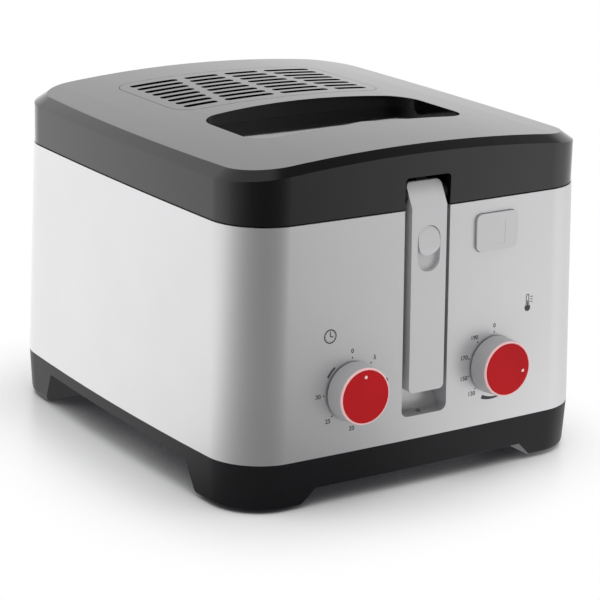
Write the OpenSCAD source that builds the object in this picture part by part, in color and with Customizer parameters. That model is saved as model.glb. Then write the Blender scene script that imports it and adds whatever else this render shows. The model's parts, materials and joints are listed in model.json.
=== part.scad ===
// Box-shaped deep fryer with a hinged lid, a removable oil bowl and a lifting basket.
// Millimetres. +Z is up, the front faces -Y. The origin is under the middle of the
// part, on the surface it stands on.

/* [Body] */
// Width at the lid seam, between the corners
seam_width = 280; // [276:1:290]
// Depth at the lid seam, between the corners
seam_depth = 309; // [305:1:316]
// Width gained from the lid seam down to the base seam
flare_width = 4; // [1:0.5:8]
// Depth gained from the lid seam down to the base seam
flare_depth = 10; // [6:0.5:14]
// How far the middle of each side stands out past its corners at the lid seam
side_bow = 3.3; // [1:0.1:5]
// How far the middle of each side stands out past its corners at the base seam
base_side_bow = 6; // [2:0.5:8]
// How far the middle of the front and the back stand out past their corners
front_bow = 2.5; // [1:0.1:4]
// Radius of the upright corners
corner_r = 35; // [28:1:42]
// Height of the light housing
body_h = 156; // [154:1:164]
// Wall of the housing
body_wall = 2.5; // [2:0.1:3]
// Width of the ledge inside the housing that carries the deck
ledge_w = 3; // [2:0.1:3.2]
// Thickness of that ledge
ledge_t = 3; // [2:0.5:4]
// Thickness of the deck around the bowl
deck_t = 3.5; // [3:0.25:4]
// Radius of the screw bosses in the corners of the housing
boss_r = 5; // [4.5:0.5:6]
// Height of those screw bosses
boss_h = 26; // [20:1:34]

/* [Base] */
// Height of the base from its feet to the base seam
base_h = 32.5; // [28:0.5:36]
// Wall of the base
base_wall = 2.5; // [2:0.1:3]
// Floor of the base
base_floor = 2.5; // [2:0.1:3.5]
// How far the base draws in from the seam to its feet
base_taper = 1.5; // [0.5:0.5:3]
// Radius of the base's lower edge
base_round = 4; // [2:0.5:5]
// Height of the skirt between the feet at the sides
side_skirt = 8.5; // [7:0.5:12]
// Height of the skirt between the feet at the front and the back
front_skirt = 21; // [16:0.5:23]
// Length of each foot along the front, from the corner of the base
foot_x = 46; // [40:1:54]
// Length of each foot along the side, from the corner of the base
foot_y = 52; // [46:1:60]
// Slant of a foot's inner edge, over the foot's height
foot_slant = 12; // [6:1:16]
// Height of the lip that locates the housing on the base
lip_h = 4; // [3:0.5:6]
// Radius of a rubber foot pad
pad_r = 9; // [7:0.5:11]
// Thickness of a rubber foot pad
pad_t = 3; // [2:0.5:4]
// How far a rubber pad stands out below its foot
pad_drop = 1.5; // [1:0.25:2]

/* [Lid] */
// Height of the lid's upright band at its corners
band_h = 28; // [26:0.5:31]
// Height of the bevel above the band
bevel_h = 6.2; // [4:0.1:8]
// How far the bevel draws in at the sides
bevel_side = 9.5; // [6:0.5:12]
// How far the bevel draws in at the front and the back
bevel_front = 6; // [4:0.5:9]
// Rise of the lid's top from its sides to its middle
crown_h = 8; // [6:0.5:10]
// Wall of the lid
lid_wall = 2.5; // [2:0.1:3]
// Gap between the lid and the housing
lid_gap = 0.9; // [0.5:0.1:1.2]
// Height of the notch in the band that the handle passes
notch_h = 21.5; // [20.5:0.5:23]
// Radius of the notch's upper corners
notch_r = 3; // [1:0.5:5]

/* [Viewing window] */
// Width of the window opening
window_w = 174; // [150:1:176]
// Distance of the window's front edge from the part's middle
window_front = 84; // [80:1:85]
// Distance of the window's back corners from the part's middle
window_back = 9; // [5:1:14]
// How far the window's back edge bows back in its middle
window_bow = 9; // [6:1:14]
// Corner radius of the window
window_r = 17; // [10:1:22]
// Width of the rib that reaches into the window's front edge
window_tab_w = 46; // [36:1:60]
// Depth of that rib
window_tab_d = 5; // [2:0.5:8]
// Depth of the glass below the lid's edge height
glass_drop = 3; // [2:0.5:5]
// Thickness of the glass
glass_t = 3; // [2.5:0.5:4]
// Width of the lip under the glass
glass_lip = 4; // [3:0.5:6]
// Thickness of the seal under the glass
seal_t = 1.2; // [0.8:0.1:2]

/* [Filter] */
// Width of the filter cover
cover_w = 170; // [156:1:176]
// Distance of the cover's front edge behind the part's middle
cover_front = 15; // [14:0.5:18]
// Depth of the cover, front to back
cover_d = 100; // [90:1:104]
// Corner radius of the cover
cover_r = 16; // [10:1:22]
// Thickness of the cover
cover_t = 3; // [2.5:0.5:4]
// Columns of slots in the cover
slot_columns = 4; // [3:1:5]
// Rows of slots in the cover
slot_rows = 8; // [6:1:9]
// Height of one slot, front to back
slot_h = 6; // [4:0.5:7]
// Width of the web between two columns of slots
slot_web = 6.5; // [5:0.5:9]
// How far the outer webs stand in at the back row of slots
web_in = 5.5; // [0:0.5:6.5]
// How far the outer webs stand out at the front row of slots
web_out = 6.5; // [0:0.5:8]
// Margin between the slots and the cover's edge
slot_margin = 9; // [7:0.5:12]
// Thickness of the grease filter
grease_t = 4; // [3:0.5:5]
// Thickness of the charcoal filter
charcoal_t = 6; // [4:0.5:7]

/* [Channel and handle] */
// Width of the channel in the front
channel_w = 36.4; // [35:0.2:40]
// Depth of the channel below the front face, at the lid seam
channel_d = 15; // [14:0.5:15.5]
// Height of the channel's foot above the base seam
channel_foot = 16; // [12:1:22]
// Radius of the curve from the channel's floor to its back wall
channel_curve = 12; // [6:1:14]
// Radius of the channel's lower corners
channel_r = 5; // [3:0.5:8]
// Width of the handle
handle_w = 28; // [26:0.5:29]
// Thickness of the handle
handle_t = 9; // [7:0.5:9.5]
// Length of the handle below its bend
handle_len = 125; // [110:1:130]
// How far the handle stands out from the front face
handle_proud = 2; // [1:0.25:3]
// Radius of the handle's corners
handle_r = 3.5; // [2.5:0.5:6]
// Pivot of the handle behind the front face
pivot_back = 8; // [7.5:0.25:9]
// Pivot of the handle above the lid seam
pivot_up = 8.5; // [8:0.25:9]
// Width of the thumb slide's recess
thumb_w = 18; // [14:0.5:20]
// Length of the thumb slide's recess
thumb_len = 31; // [26:1:36]
// Depth of the thumb slide's recess
thumb_depth = 3.5; // [3:0.5:5]
// Middle of the recess below the bend of the handle
thumb_below = 28; // [24:1:40]
// Length of the thumb slide's lug
lug_len = 20; // [16:0.5:22]
// Travel of the thumb slide
thumb_travel = 6; // [4:0.5:7]

/* [Lift gear] */
// Pitch radius of the two gear segments
gear_r = 10; // [9.5:0.25:10.25]
// Teeth that a full turn of a segment would have
gear_teeth = 20; // [16:4:24]
// Width of a gear segment
gear_w = 8; // [6:0.5:9]
// Play between the teeth on each flank
gear_play = 0.12; // [0.08:0.01:0.2]
// Radius of the two pivot shafts
shaft_r = 2.5; // [2:0.1:3]
// Running clearance of the pivot shafts, on the radius
shaft_fit = 0.05; // [0.02:0.01:0.1]
// Length of the lift lever, from its pivot to its pin
lever_len = 30; // [26:0.5:30]
// Thickness of a bracket cheek
cheek_t = 2.8; // [2:0.1:3]

/* [Bowl and basket] */
// Distance of the bowl's inside from the body's sides at the lid seam
bowl_to_side = 24; // [22:0.5:26]
// Distance of the bowl's inside behind the front's corners at the lid seam
bowl_to_front = 27.5; // [26.5:0.5:28]
// Distance of the bowl's inside in front of the back's corners at the lid seam
bowl_to_back = 15.5; // [14.5:0.5:20]
// Sheet of the bowl
bowl_t = 1.2; // [1:0.1:1.6]
// Width of the bowl's rim
bowl_rim = 8; // [7:0.5:8]
// Top of the bowl's rim below the lid seam
rim_below = 3; // [2.5:0.25:3.5]
// Radius of the edge around the bowl's floor
bowl_edge = 12; // [6:1:18]
// Height of the bowl's inside floor above the base seam
bowl_floor = 30; // [28:1:34]
// Corner radius inside the bowl
bowl_r = 32; // [24:1:40]
// Gap between the bowl and the basket at the sides
basket_gap_x = 12; // [9:1:15]
// Gap between the bowl and the basket at the front and the back
basket_gap_y = 15; // [13:0.5:17]
// Height of the basket's floor above the bowl's floor
basket_up = 10; // [8:1:14]
// Height of the basket
basket_h = 78; // [70:1:82]
// Pitch of the basket's grid
grid_pitch = 20; // [16:1:26]
// Width of the grid's bars
grid_bar = 3; // [2:0.25:4]
// Thickness of the grid
grid_t = 1.2; // [1:0.1:2]

/* [Knobs] */
// Distance of each knob from the middle of the front
knob_x = 57.8; // [54:0.2:62]
// Height of the knobs above the base seam
knob_up = 41.5; // [38:0.5:48]
// Radius of a knob at its foot
knob_r = 20; // [17:0.5:22]
// Height of a knob
knob_h = 15; // [12:0.5:18]
// How much a knob draws in towards its top, on the radius
knob_draft = 0.8; // [0.2:0.1:1.5]
// Width of the pale rim around a knob's cap
rim_w = 1.6; // [1:0.1:2.5]
// Gap between a knob and the front
knob_gap = 1; // [0.8:0.1:1.4]
// Radius of a knob's shaft
spindle_r = 3; // [2.5:0.1:3.5]

/* [Release button] */
// Middle of the button to the side of the front's middle
button_x = 56.5; // [52:0.5:60]
// Middle of the button below the lid seam
button_below = 22; // [20:0.5:26]
// Width of the button
button_w = 34; // [31:0.5:38]
// Height of the button
button_h = 25.5; // [24:0.5:28]
// Corner radius of the button
button_r = 4.5; // [3:0.5:6]
// How far the button stands out from the front
button_proud = 2; // [1.5:0.25:3]
// Travel of the button
button_travel = 4; // [3:0.25:4]

/* [Hinge] */
// Distance of the hinge axis behind the back face
hinge_back = 11.7; // [10.5:0.1:13]
// Height of the hinge axis above the lid seam
hinge_up = 4; // [3:0.5:6]
// Radius of the hinge knuckles
knuckle_r = 8; // [7:0.25:9]
// Distance of each hinge from the part's middle
hinge_x = 66; // [58:1:74]
// Width of the lid's arm in each hinge
arm_w = 12; // [10:0.5:14]
// Width of each of the housing's ears in a hinge
ear_w = 7; // [5:0.5:9]
// Play between an arm and an ear
ear_gap = 0.5; // [0.3:0.1:0.8]

/* [Hidden] */
$fn = 64;
past = 1;            // overshoot of a solid that cuts right through
tilt = atan(flare_depth / 2 / body_h);
// Heights
z_foot = pad_drop;
z_seam = z_foot + base_h;
z_lid = z_seam + body_h;
z_floor = z_seam - side_skirt;
z_deck = z_lid - rim_below - bowl_t;
z_bowl = z_seam + bowl_floor;
z_basket = z_bowl + basket_up;
z_knob = z_seam + knob_up;
z_button = z_lid - button_below;
z_band = z_lid + band_h;
z_edge = z_band + bevel_h;
z_glass = z_edge - glass_drop;
// Plan of the bowl and of the basket
bowl_y = (bowl_to_front - bowl_to_back) / 2;
bowl_hw = seam_width / 2 - bowl_to_side;
bowl_hd = (seam_depth - bowl_to_front - bowl_to_back) / 2;
basket_hw = bowl_hw - basket_gap_x;
basket_hd = bowl_hd - basket_gap_y;
frame_bar = 4;       // side of the basket frame's square bars
// Plan of the lid
band_hw = seam_width / 2 - 0.4;
band_hd = seam_depth / 2 - 0.4;
top_hw = band_hw - bevel_side;
top_hd = band_hd - bevel_front;
top_r = corner_r - bevel_front;
crown_r = (top_hw * top_hw + crown_h * crown_h) / (2 * crown_h);
// Gears, pivots and the path of the lift pin
module_size = 2 * gear_r / gear_teeth;
tip_r = gear_r + module_size;
root_r = gear_r - 1.25 * module_size;
pressure = 25;
base_circle = gear_r * cos(pressure);
tooth_step = 360 / gear_teeth;
cut_teeth = gear_teeth / 4 + 1;
hub_r = 5.5;         // bosses around the two pivots
gear_hub_r = 3.9;    // boss of the handle's gear, behind the handle's face
hinge_y = (seam_depth / 2 + front_bow) + hinge_back;
hinge_z = z_lid + hinge_up;
fold_y = -(seam_depth / 2 + front_bow) + pivot_back;
fold_z = z_lid + pivot_up;
lever_y = fold_y + 2 * gear_r;
pin_out = lever_len * cos(45);
pin_z = fold_z - pin_out;
pin_slack = 1.2;     // play above and below the pin, for the lever's arc
// Handle
bend_z = z_lid + 1.5;
bend_y = -(seam_depth / 2 + front_bow) - handle_proud;
thumb_z = -thumb_below;
plate_t = 1.5;       // face of the handle in front of its gear
handle_top = gear_r - module_size - 0.3;   // clears the lever's teeth when it is folded up
cheek_gap = 0.6;     // play between the handle and the bracket
drain_r = 2;
drain_in = 7;        // drain hole's distance behind the front face
cheek_x = handle_w / 2 + cheek_gap;
// Screws
screw_r = 1.5;
pilot_r = 1.6;
head_r = 3;
head_h = 2;
screw_out = 25;      // base screws, from the centre of the corner's radius
corner_x = seam_width / 2 + flare_width / 2 - corner_r;
corner_y = seam_depth / 2 + flare_depth / 2 - corner_r;
foot_post_top = z_seam + lip_h + 0.5;
head_z = z_floor + base_floor;
screw_len = 22;
// Heat shield and heater
shield_t = 0.8;
shield_hw = bowl_hw + 6;
shield_hd = bowl_hd + 7;
shield_z = z_seam + 6;
shield_top = z_lid - 22;
heater_r = min(bowl_hw, bowl_hd) - 21;
heater_t = 4;
heater_z = z_bowl - bowl_t - heater_t;
element_r = heater_r - 25;
rod_r = 4;
post_r = 4;
post_out = heater_r - 10;
// Lid liner, gasket and filter stack
liner_t = 1.5;
gasket_w = 5.5;
gasket_gap = 0.3;
gasket_h = 6;
z_gasket = z_deck + bowl_t + gasket_gap;
z_liner = z_gasket + gasket_h;
rim_mid = bowl_rim / 2;
liner_cut = channel_w / 2 + lid_wall + 0.4;
lid_boss_r = 5;
tray_t = 2;
z_charcoal = z_glass + 0.8;
z_grease = z_charcoal - charcoal_t;
z_tray = z_grease - grease_t - tray_t;
vent_y = cover_front + cover_d / 2;
cover_gap = 0.4;
skirt_t = 2;
// Latch
catch_w = 12;
catch_t = 2.5;
catch_y = y_front(0, z_lid) + 10;
hook_len = 4.2;
hook_h = 3;
hook_z = z_button + 0.5;
latch_z = hook_z + hook_h + 0.5;
latch_gap = 0.3;     // the slide stops short of the hook, so that either can move alone
button_gap = 0.4;
flange_t = 2;
flange_w = 2;
flange_gap = 0.7;    // behind the housing's wall
button_d = body_wall + flange_gap + flange_t;
spring_seat = 18;    // face that the button's spring stands on, behind the front face
// Knobs
pad_d = 2.5;         // flat pads behind the knobs, behind the housing's wall
pad_face = body_wall + pad_d;
bore_deep = 8;
rim_h = 1.5;
cap_h = 2.5;

// ---- Outlines ----

// Share of the way from the lid seam down to the base seam
function down(z) = (z_lid - z) / body_h;
function half_w(z) = seam_width / 2 + flare_width / 2 * down(z);
function half_d(z) = seam_depth / 2 + flare_depth / 2 * down(z);
function bow_x(z) = side_bow + (base_side_bow - side_bow) * down(z);
function y_front(x, z) = -half_d(z) - front_bow * (1 - pow(x / half_w(z), 2));

// Point on corner q of a rectangle whose corners have radius r
function corner_point(q, a, hw, hd, r) = [
    (q == 0 || q == 3 ? 1 : -1) * (hw - r) + r * cos(a),
    (q < 2 ? 1 : -1) * (hd - r) + r * sin(a)];

// Rectangle with round corners, counter-clockwise, with points along its sides too
function outline(hw, hd, r, arc = 6, side = 1) = [
    for (q = [0:3]) each concat(
        [for (i = [0:arc]) corner_point(q, 90 * (q + i / arc), hw, hd, r)],
        let (
            a = corner_point(q, 90 * (q + 1), hw, hd, r),
            b = corner_point((q + 1) % 4, 90 * (q + 1), hw, hd, r)
        ) [for (i = [1:1:side - 1]) a + (b - a) * i / side])];

// Moves a point of an outline out, most at the middle of each side
function bow(p, hw, hd, bx, by) = [
    p.x + sign(p.x) * bx * (1 - pow(p.y / hd, 2)),
    p.y + sign(p.y) * by * (1 - pow(p.x / hw, 2))];
function bowed(hw, hd, r, bx, by) = [for (p = outline(hw, hd, r, 12, 8)) bow(p, hw, hd, bx, by)];

// Housing's outline at a height, drawn in by an inset
function body_outline(z, inset) = bowed(half_w(z) - inset, half_d(z) - inset, corner_r - inset,
    bow_x(z), front_bow);

// Base's outline: the housing's at the seam, drawn in towards the feet
function base_outline(z, inset) =
    body_outline(z_seam, inset + base_taper * (z_seam - z) / base_h);

// An outline's points at a height, about a middle at y
function ring(points, z, y = 0) = [for (p = points) [p.x, p.y + y, z]];

// Solid through rings with equal numbers of points, from the lowest to the highest
module loft(rings) {
    n = len(rings[0]);
    last = len(rings) - 1;
    polyhedron(
        points = [for (r = rings) each r],
        faces = concat(
            [[for (i = [0:n - 1]) i]],
            [for (k = [0:last - 1], i = [0:n - 1]) each let (
                a = k * n + i,
                b = k * n + (i + 1) % n
            ) [[a, a + n, b + n], [a, b + n, b]]],
            [[for (i = [n - 1:-1:0]) last * n + i]]));
}

// Flat plate from an outline
module plate(points, z, t, y = 0) {
    translate([0, y, z]) linear_extrude(t) polygon(points);
}

// Solids drawn in the side view, at a pivot: the drawing's x is +Y and its y is +Z
module side_on(y, z, x = 0) {
    translate([x, y, z]) rotate([90, 0, 90]) children();
}

// Places on the front face: +Y goes inwards and +Z goes up the face
module on_front(x, z) {
    translate([x, y_front(x, z), z]) rotate([-tilt, 0, 0]) children();
}

// Places on the front face with +Z pointing straight out of it
module out_of_front(x, z) {
    on_front(x, z) rotate([90, 0, 0]) children();
}

// Places on the handle's face, from its bend: +Y goes inwards and +Z goes up
module on_handle() {
    translate([0, bend_y, bend_z]) rotate([-tilt, 0, 0]) children();
}

module both_sides() {
    for (s = [0, 1]) mirror([s, 0, 0]) children();
}

// The four corners of a rectangle
module at_corners(x, y) {
    for (sx = [-1, 1], sy = [-1, 1]) translate([sx * x, sy * y, 0]) children();
}

// Round wire through a path's points
function unit(v) = v / norm(v);
function wire_ring(path, i, r, sides) = let (
    last = len(path) - 1,
    t = unit(path[min(i + 1, last)] - path[max(i - 1, 0)]),
    u = unit(cross(t, abs(t.z) < 0.9 ? [0, 0, 1] : [1, 0, 0])),
    v = cross(t, u)
) [for (k = [0:sides - 1]) path[i] + r * (u * cos(360 * k / sides) + v * sin(360 * k / sides))];
module wire(path, r, sides = 8) {
    loft([for (i = [0:len(path) - 1]) wire_ring(path, i, r, sides)]);
}

// Coil spring along +Z
module coil(r, wire_r, length, turns) {
    steps = 12;
    wire([for (i = [0:steps * turns]) [r * cos(360 * i / steps), r * sin(360 * i / steps),
        wire_r + (length - 2 * wire_r) * i / (steps * turns)]], wire_r, 6);
}

// ---- Housing, base and feet ----

// The channel's side view: open at the front and at the top, with a curved foot
module channel_side(width, wall) {
    back = channel_d + wall;
    low = channel_foot - wall;
    r = channel_curve + wall;
    rotate([90, 0, 90]) linear_extrude(width, center = true) polygon(concat(
        [[-6, low]],
        [for (a = [0:15:90]) [back - r * (1 - sin(a)), low + r * (1 - cos(a))]],
        [[back, body_h + 6], [-6, body_h + 6]]));
}
// The channel's front view, with its lower corners rounded
module channel_front(wall) {
    translate([0, 40, 0]) rotate([90, 0, 0]) linear_extrude(60)
        translate([0, channel_foot - wall + body_h]) polygon(outline(channel_w / 2 + wall, body_h,
            channel_r + wall));
}
module channel(wall) {
    on_front(0, z_seam) intersection() {
        channel_side(channel_w + 2 * wall, wall);
        channel_front(wall);
    }
}

module knob_holes() {
    for (s = [-1, 1]) out_of_front(s * knob_x, z_knob)
        translate([0, 0, -pad_face - past]) cylinder(r = spindle_r + 1.2, h = pad_face + 2 * past);
}
module knob_pads() {
    for (s = [-1, 1]) out_of_front(s * knob_x, z_knob)
        translate([0, 0, -pad_face]) cylinder(r = spindle_r + 9, h = pad_face - 1);
}

module screw_bosses(z, h) {
    at_corners(corner_x + screw_out * cos(45), corner_y + screw_out * sin(45))
        translate([0, 0, z]) cylinder(r = boss_r, h = h);
}
// Ribs from the screw bosses to the wall
module boss_ribs(z, h) {
    both_sides() for (s = [-1, 1]) translate([corner_x, s * corner_y, z]) rotate([0, 0, s * 45])
        translate([screw_out + boss_r - 1, -1.5, 0])
            cube([corner_r - body_wall - screw_out - boss_r + 1.6, 3, h]);
}

module ear(x) {
    side_on(hinge_y, hinge_z, x - ear_w / 2) difference() {
        linear_extrude(ear_w) {
            circle(knuckle_r);
            polygon([[-hinge_back - 1.2, -30], [0, -knuckle_r + 0.1], [knuckle_r - 0.1, 0],
                [-knuckle_r + 0.1, 0], [-hinge_back - 1.2, -8]]);
        }
        translate([0, 0, -past]) cylinder(r = shaft_r, h = ear_w + 2 * past);
    }
}

gland_x = 50 - seam_width / 2;
gland_z = z_seam + 20;
gland_r = 4;         // bore for the cable
gland_body_r = 6;
gland_y = half_d(gland_z) + front_bow + 1;
module gland_pad() {
    w = gland_body_r + 6;
    translate([gland_x - w, gland_y - body_wall - 4, gland_z - w]) cube([2 * w, body_wall + 4, 2 * w]);
}

// Room for the release button and its travel, from a depth behind the front face
module button_room(front) {
    w = button_w / 2 + flange_w + 0.5;
    on_front(button_x, z_button) translate([-w, front, -button_h / 2 - flange_w - 1])
        cube([2 * w, button_d + button_travel + 0.85 - front, button_h + flange_w + 1.3]);
}

module housing() {
    color("gainsboro") difference() {
        union() {
            difference() {
                loft([ring(body_outline(z_seam, 0), z_seam), ring(body_outline(z_lid, 0), z_lid)]);
                loft([ring(body_outline(z_seam, body_wall), z_seam - past),
                    ring(body_outline(z_lid, body_wall), z_lid + past)]);
            }
            // Ledge under the deck
            difference() {
                plate(body_outline(z_lid, body_wall - 0.5), z_deck - deck_t - ledge_t, ledge_t);
                plate(body_outline(z_lid, body_wall + ledge_w), z_deck - deck_t - ledge_t - past,
                    ledge_t + 2 * past);
            }
            // Walls of the channel
            intersection() {
                channel(body_wall);
                loft([ring(body_outline(z_seam, 0.2), z_seam), ring(body_outline(z_deck, 0.2), z_deck)]);
            }
            knob_pads();
            gland_pad();
            screw_bosses(foot_post_top, boss_h);
            boss_ribs(foot_post_top, boss_h);
            both_sides() for (s = [-1, 1]) ear(hinge_x + s * (arm_w / 2 + ear_gap + ear_w / 2));
        }
        channel(0);
        // Drain hole in the channel's floor
        on_front(0, z_seam + channel_foot) translate([0, drain_in, -body_wall - past])
            cylinder(r = drain_r, h = body_wall + drain_in);
        knob_holes();
        button_room(body_wall + 0.35);
        out_of_front(button_x, z_button) translate([0, 0, -body_wall - 4]) linear_extrude(10)
            polygon(outline(button_w / 2 + button_gap, button_h / 2 + button_gap,
                button_r + button_gap));
        // Square hole, so that the gland can't turn
        translate([gland_x - gland_body_r - 0.1, gland_y - 20, gland_z - gland_body_r - 0.1])
            cube([2 * gland_body_r + 0.2, 40, 2 * gland_body_r + 0.2]);
        at_corners(corner_x + screw_out * cos(45), corner_y + screw_out * sin(45))
            translate([0, 0, foot_post_top - past]) cylinder(r = pilot_r, h = boss_h);
    }
}

front_half = half_w(z_seam) - foot_x;
side_half = half_d(z_seam) - foot_y;
z_arch = z_seam - front_skirt;

// Tunnel under the base along Y, with slanted sides
module arch(half, top) {
    rotate([90, 0, 0]) linear_extrude(2 * seam_depth, center = true) polygon([
        [-half, -past], [half, -past], [half, z_foot], [half - foot_slant, top],
        [foot_slant - half, top], [-half, z_foot]]);
}
// The part of the base between the feet, as wide as the feet's inner walls
module between_feet(half, top) {
    arch(half + base_wall, top);
    w = half - foot_slant + base_wall;
    translate([-w, -seam_depth, top - 2]) cube([2 * w, 2 * seam_depth, z_seam]);
}
foot_pad_x = corner_x + 6;
foot_pad_y = corner_y + 8;
heater_boss_x = shield_hw - 10;
heater_boss_y = side_half - foot_slant - 25;

module base() {
    lip_in = body_wall + 0.3;
    color("#1c1c1c") difference() {
        union() {
            difference() {
                loft(concat(
                    [for (a = [0:30:90]) ring(
                        base_outline(z_foot, base_round * (1 - sin(a))), z_foot + base_round * (1 - cos(a)))],
                    [ring(base_outline(z_seam, 0), z_seam)]));
                // Space above the floor
                loft([ring(base_outline(z_floor + base_floor, base_wall), z_floor + base_floor),
                    ring(base_outline(z_seam, base_wall), z_seam + past)]);
                // Insides of the four feet
                difference() {
                    loft([ring(base_outline(z_foot, base_wall + base_round), z_foot + base_floor),
                        ring(base_outline(z_foot + 8, base_wall), z_foot + 8),
                        ring(base_outline(head_z, base_wall), head_z),
                        ring(base_outline(head_z, base_wall + 0.5), head_z + past)]);
                    between_feet(front_half, z_arch);
                    rotate([0, 0, 90]) between_feet(side_half, z_floor);
                }
                // Space between the feet, and behind the skirts
                arch(front_half, z_arch);
                rotate([0, 0, 90]) arch(side_half, z_floor);
                intersection() {
                    translate([foot_slant - front_half, -seam_depth, z_arch - past])
                        cube([2 * (front_half - foot_slant), 2 * seam_depth, z_floor - z_arch + past]);
                    loft([ring(base_outline(z_foot, base_wall), z_foot),
                        ring(base_outline(z_seam, base_wall), z_seam)]);
                }
            }
            // Lip inside the housing
            difference() {
                union() {
                    plate(base_outline(z_seam, base_wall - 0.5), z_seam - 3, 3);
                    plate(base_outline(z_seam, lip_in), z_seam - 1, lip_h + 1);
                }
                plate(base_outline(z_seam, lip_in + 1.8), z_seam - 4, lip_h + 5);
            }
            intersection() {
                screw_bosses(z_foot, foot_post_top - z_foot);
                plate(base_outline(z_foot, base_round), z_foot, z_lid);
            }
            at_corners(heater_boss_x, heater_boss_y) translate([0, 0, z_floor + 1])
                cylinder(r = 6, h = shield_z - z_floor - 1);
        }
        at_corners(foot_pad_x, foot_pad_y)
            translate([0, 0, -past]) cylinder(r = pad_r + 0.1, h = pad_t + past);
        at_corners(corner_x + screw_out * cos(45), corner_y + screw_out * sin(45)) {
            translate([0, 0, -past]) cylinder(r = head_r + 0.4, h = head_z + past);
            translate([0, 0, -past]) cylinder(r = pilot_r, h = z_lid);
        }
        // Cooling slots
        for (i = [-3:3]) translate([i * 20, 0, z_floor]) cube([3, 60, 3 * base_floor], center = true);
    }
}

module foot_pads() {
    color("#202020") at_corners(foot_pad_x, foot_pad_y) cylinder(r = pad_r, h = pad_t);
}

// Pan-head screw pointing up, with its head's top face at z = 0
module screw(length) {
    difference() {
        translate([0, 0, -head_h]) cylinder(r = head_r, h = head_h);
        translate([0, 0, -head_h - past]) cylinder(r = 1.2, h = past + 1, $fn = 6);
    }
    cylinder(r = screw_r, h = length);
}
module base_screws() {
    color("silver") at_corners(corner_x + screw_out * cos(45), corner_y + screw_out * sin(45))
        translate([0, 0, head_z]) screw(screw_len);
}

// ---- Deck, bowl and heater ----

function bowl_outline(grow) = outline(bowl_hw + grow, bowl_hd + grow, bowl_r + grow);

module deck_ring() {
    z0 = z_deck - deck_t;
    catch_d = catch_t + hook_len + 2;
    color("#303030") {
        difference() {
            plate(body_outline(z_lid, body_wall + 0.6), z0, deck_t);
            plate(bowl_outline(bowl_t + 0.6), z0 - past, deck_t + 2 * past, bowl_y);
            translate([-channel_w / 2 - body_wall - 0.5, -seam_depth, z0 - past])
                cube([channel_w + 2 * body_wall + 1,
                    seam_depth + y_front(0, z_lid) + channel_d + body_wall + 0.6, deck_t + 2 * past]);
            translate([button_x - catch_w / 2 - 1.5, catch_y - 1.4, z0 - past])
                cube([catch_w + 3, catch_d + 0.6, deck_t + 2 * past]);
            button_room(0);
        }
        // Frame that carries the button's spring
        on_front(button_x, z_button) difference() {
            up = z0 - z_button + 2;
            translate([-17, spring_seat, -14]) cube([34, 2, up + 14]);
            translate([-14, spring_seat - past, -1.5]) cube([28, 2 + 2 * past, up + 1.5 + past]);
        }
    }
}

module bowl() {
    edge = [0:22.5:90];
    color("#3a3a3c") {
        difference() {
            union() {
                loft(concat(
                    [for (a = edge) ring(bowl_outline(bowl_t - bowl_edge * (1 - sin(a))),
                        z_bowl - bowl_t + bowl_edge * (1 - cos(a)), bowl_y)],
                    [ring(bowl_outline(bowl_t), z_deck + bowl_t, bowl_y)]));
                plate(bowl_outline(bowl_rim), z_deck, bowl_t, bowl_y);
            }
            loft(concat(
                [for (a = edge) ring(bowl_outline(-bowl_edge * (1 - sin(a))),
                    z_bowl + bowl_edge * (1 - cos(a)), bowl_y)],
                [ring(bowl_outline(0), z_lid, bowl_y)]));
        }
    }
}

module heat_shield() {
    color("silver") difference() {
        plate(outline(shield_hw, shield_hd, bowl_r + 4), shield_z, shield_top - shield_z, bowl_y);
        plate(outline(shield_hw - shield_t, shield_hd - shield_t, bowl_r + 4 - shield_t),
            shield_z + shield_t, shield_top, bowl_y);
        translate([knob_x, bowl_y - shield_hd, z_tube]) rotate([90, 0, 0])
            cylinder(r = 2, h = 6, center = true);
        translate([-60, 100, shield_z - past]) cylinder(r = 8, h = 3);
    }
}

module heater_plate() {
    color("darkgray") translate([0, bowl_y, heater_z]) cylinder(r = heater_r, h = heater_t, $fn = 96);
}

module heating_element() {
    color("dimgray") translate([0, bowl_y, heater_z - rod_r - 0.05]) rotate([0, 0, 105]) {
        rotate_extrude(angle = 330, $fn = 96) translate([element_r, 0]) circle(rod_r, $fn = 24);
        // Cold ends
        for (a = [0, 330]) rotate([0, 0, a]) translate([element_r, 0, 0]) rotate([a > 0 ? -90 : 90, 0, 0]) {
            cylinder(r = rod_r - 1, h = 10);
            cylinder(r = 1.2, h = 16);
        }
    }
}

module heater_posts() {
    color("silver") for (a = [45:90:315]) translate([post_out * cos(a), bowl_y + post_out * sin(a),
        shield_z + shield_t]) cylinder(r = post_r, h = heater_z - shield_z - shield_t);
}

// ---- Controls behind the front ----

module thermostat() {
    color("tan") out_of_front(knob_x, z_knob) difference() {
        translate([-13, -13, -case_back]) cube([26, 26, case_back - pad_face]);
        translate([0, 0, -pad_face - bore_deep]) cylinder(r = spindle_r + shaft_fit, h = bore_deep + past);
        translate([0, z_tube - z_knob + case_back * sin(tilt), -case_back - past])
            cylinder(r = tube_r + 0.3, h = 4 + past);
    }
}

// Bulb between the bowl and the heat shield, with its tube through the shield to the thermostat
bulb_y = bowl_y - bowl_hd - bowl_t - 2.6;
tube_r = 1;
z_tube = z_basket - 6;
case_back = pad_face + 15;   // back of the thermostat behind the front face
module thermostat_bulb() {
    back_y = y_front(knob_x, z_knob) + case_back;
    color("peru") {
        translate([knob_x, bulb_y, z_basket]) cylinder(r = 2.2, h = 50);
        wire([[knob_x, bulb_y, z_basket + 1], [knob_x, bulb_y, z_tube + 1.5],
            [knob_x, bulb_y - 1.5, z_tube], [knob_x, bulb_y - 5, z_tube],
            [knob_x, back_y + 1, z_tube], [knob_x, back_y - 2.5, z_tube]], tube_r);
    }
}

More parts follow.
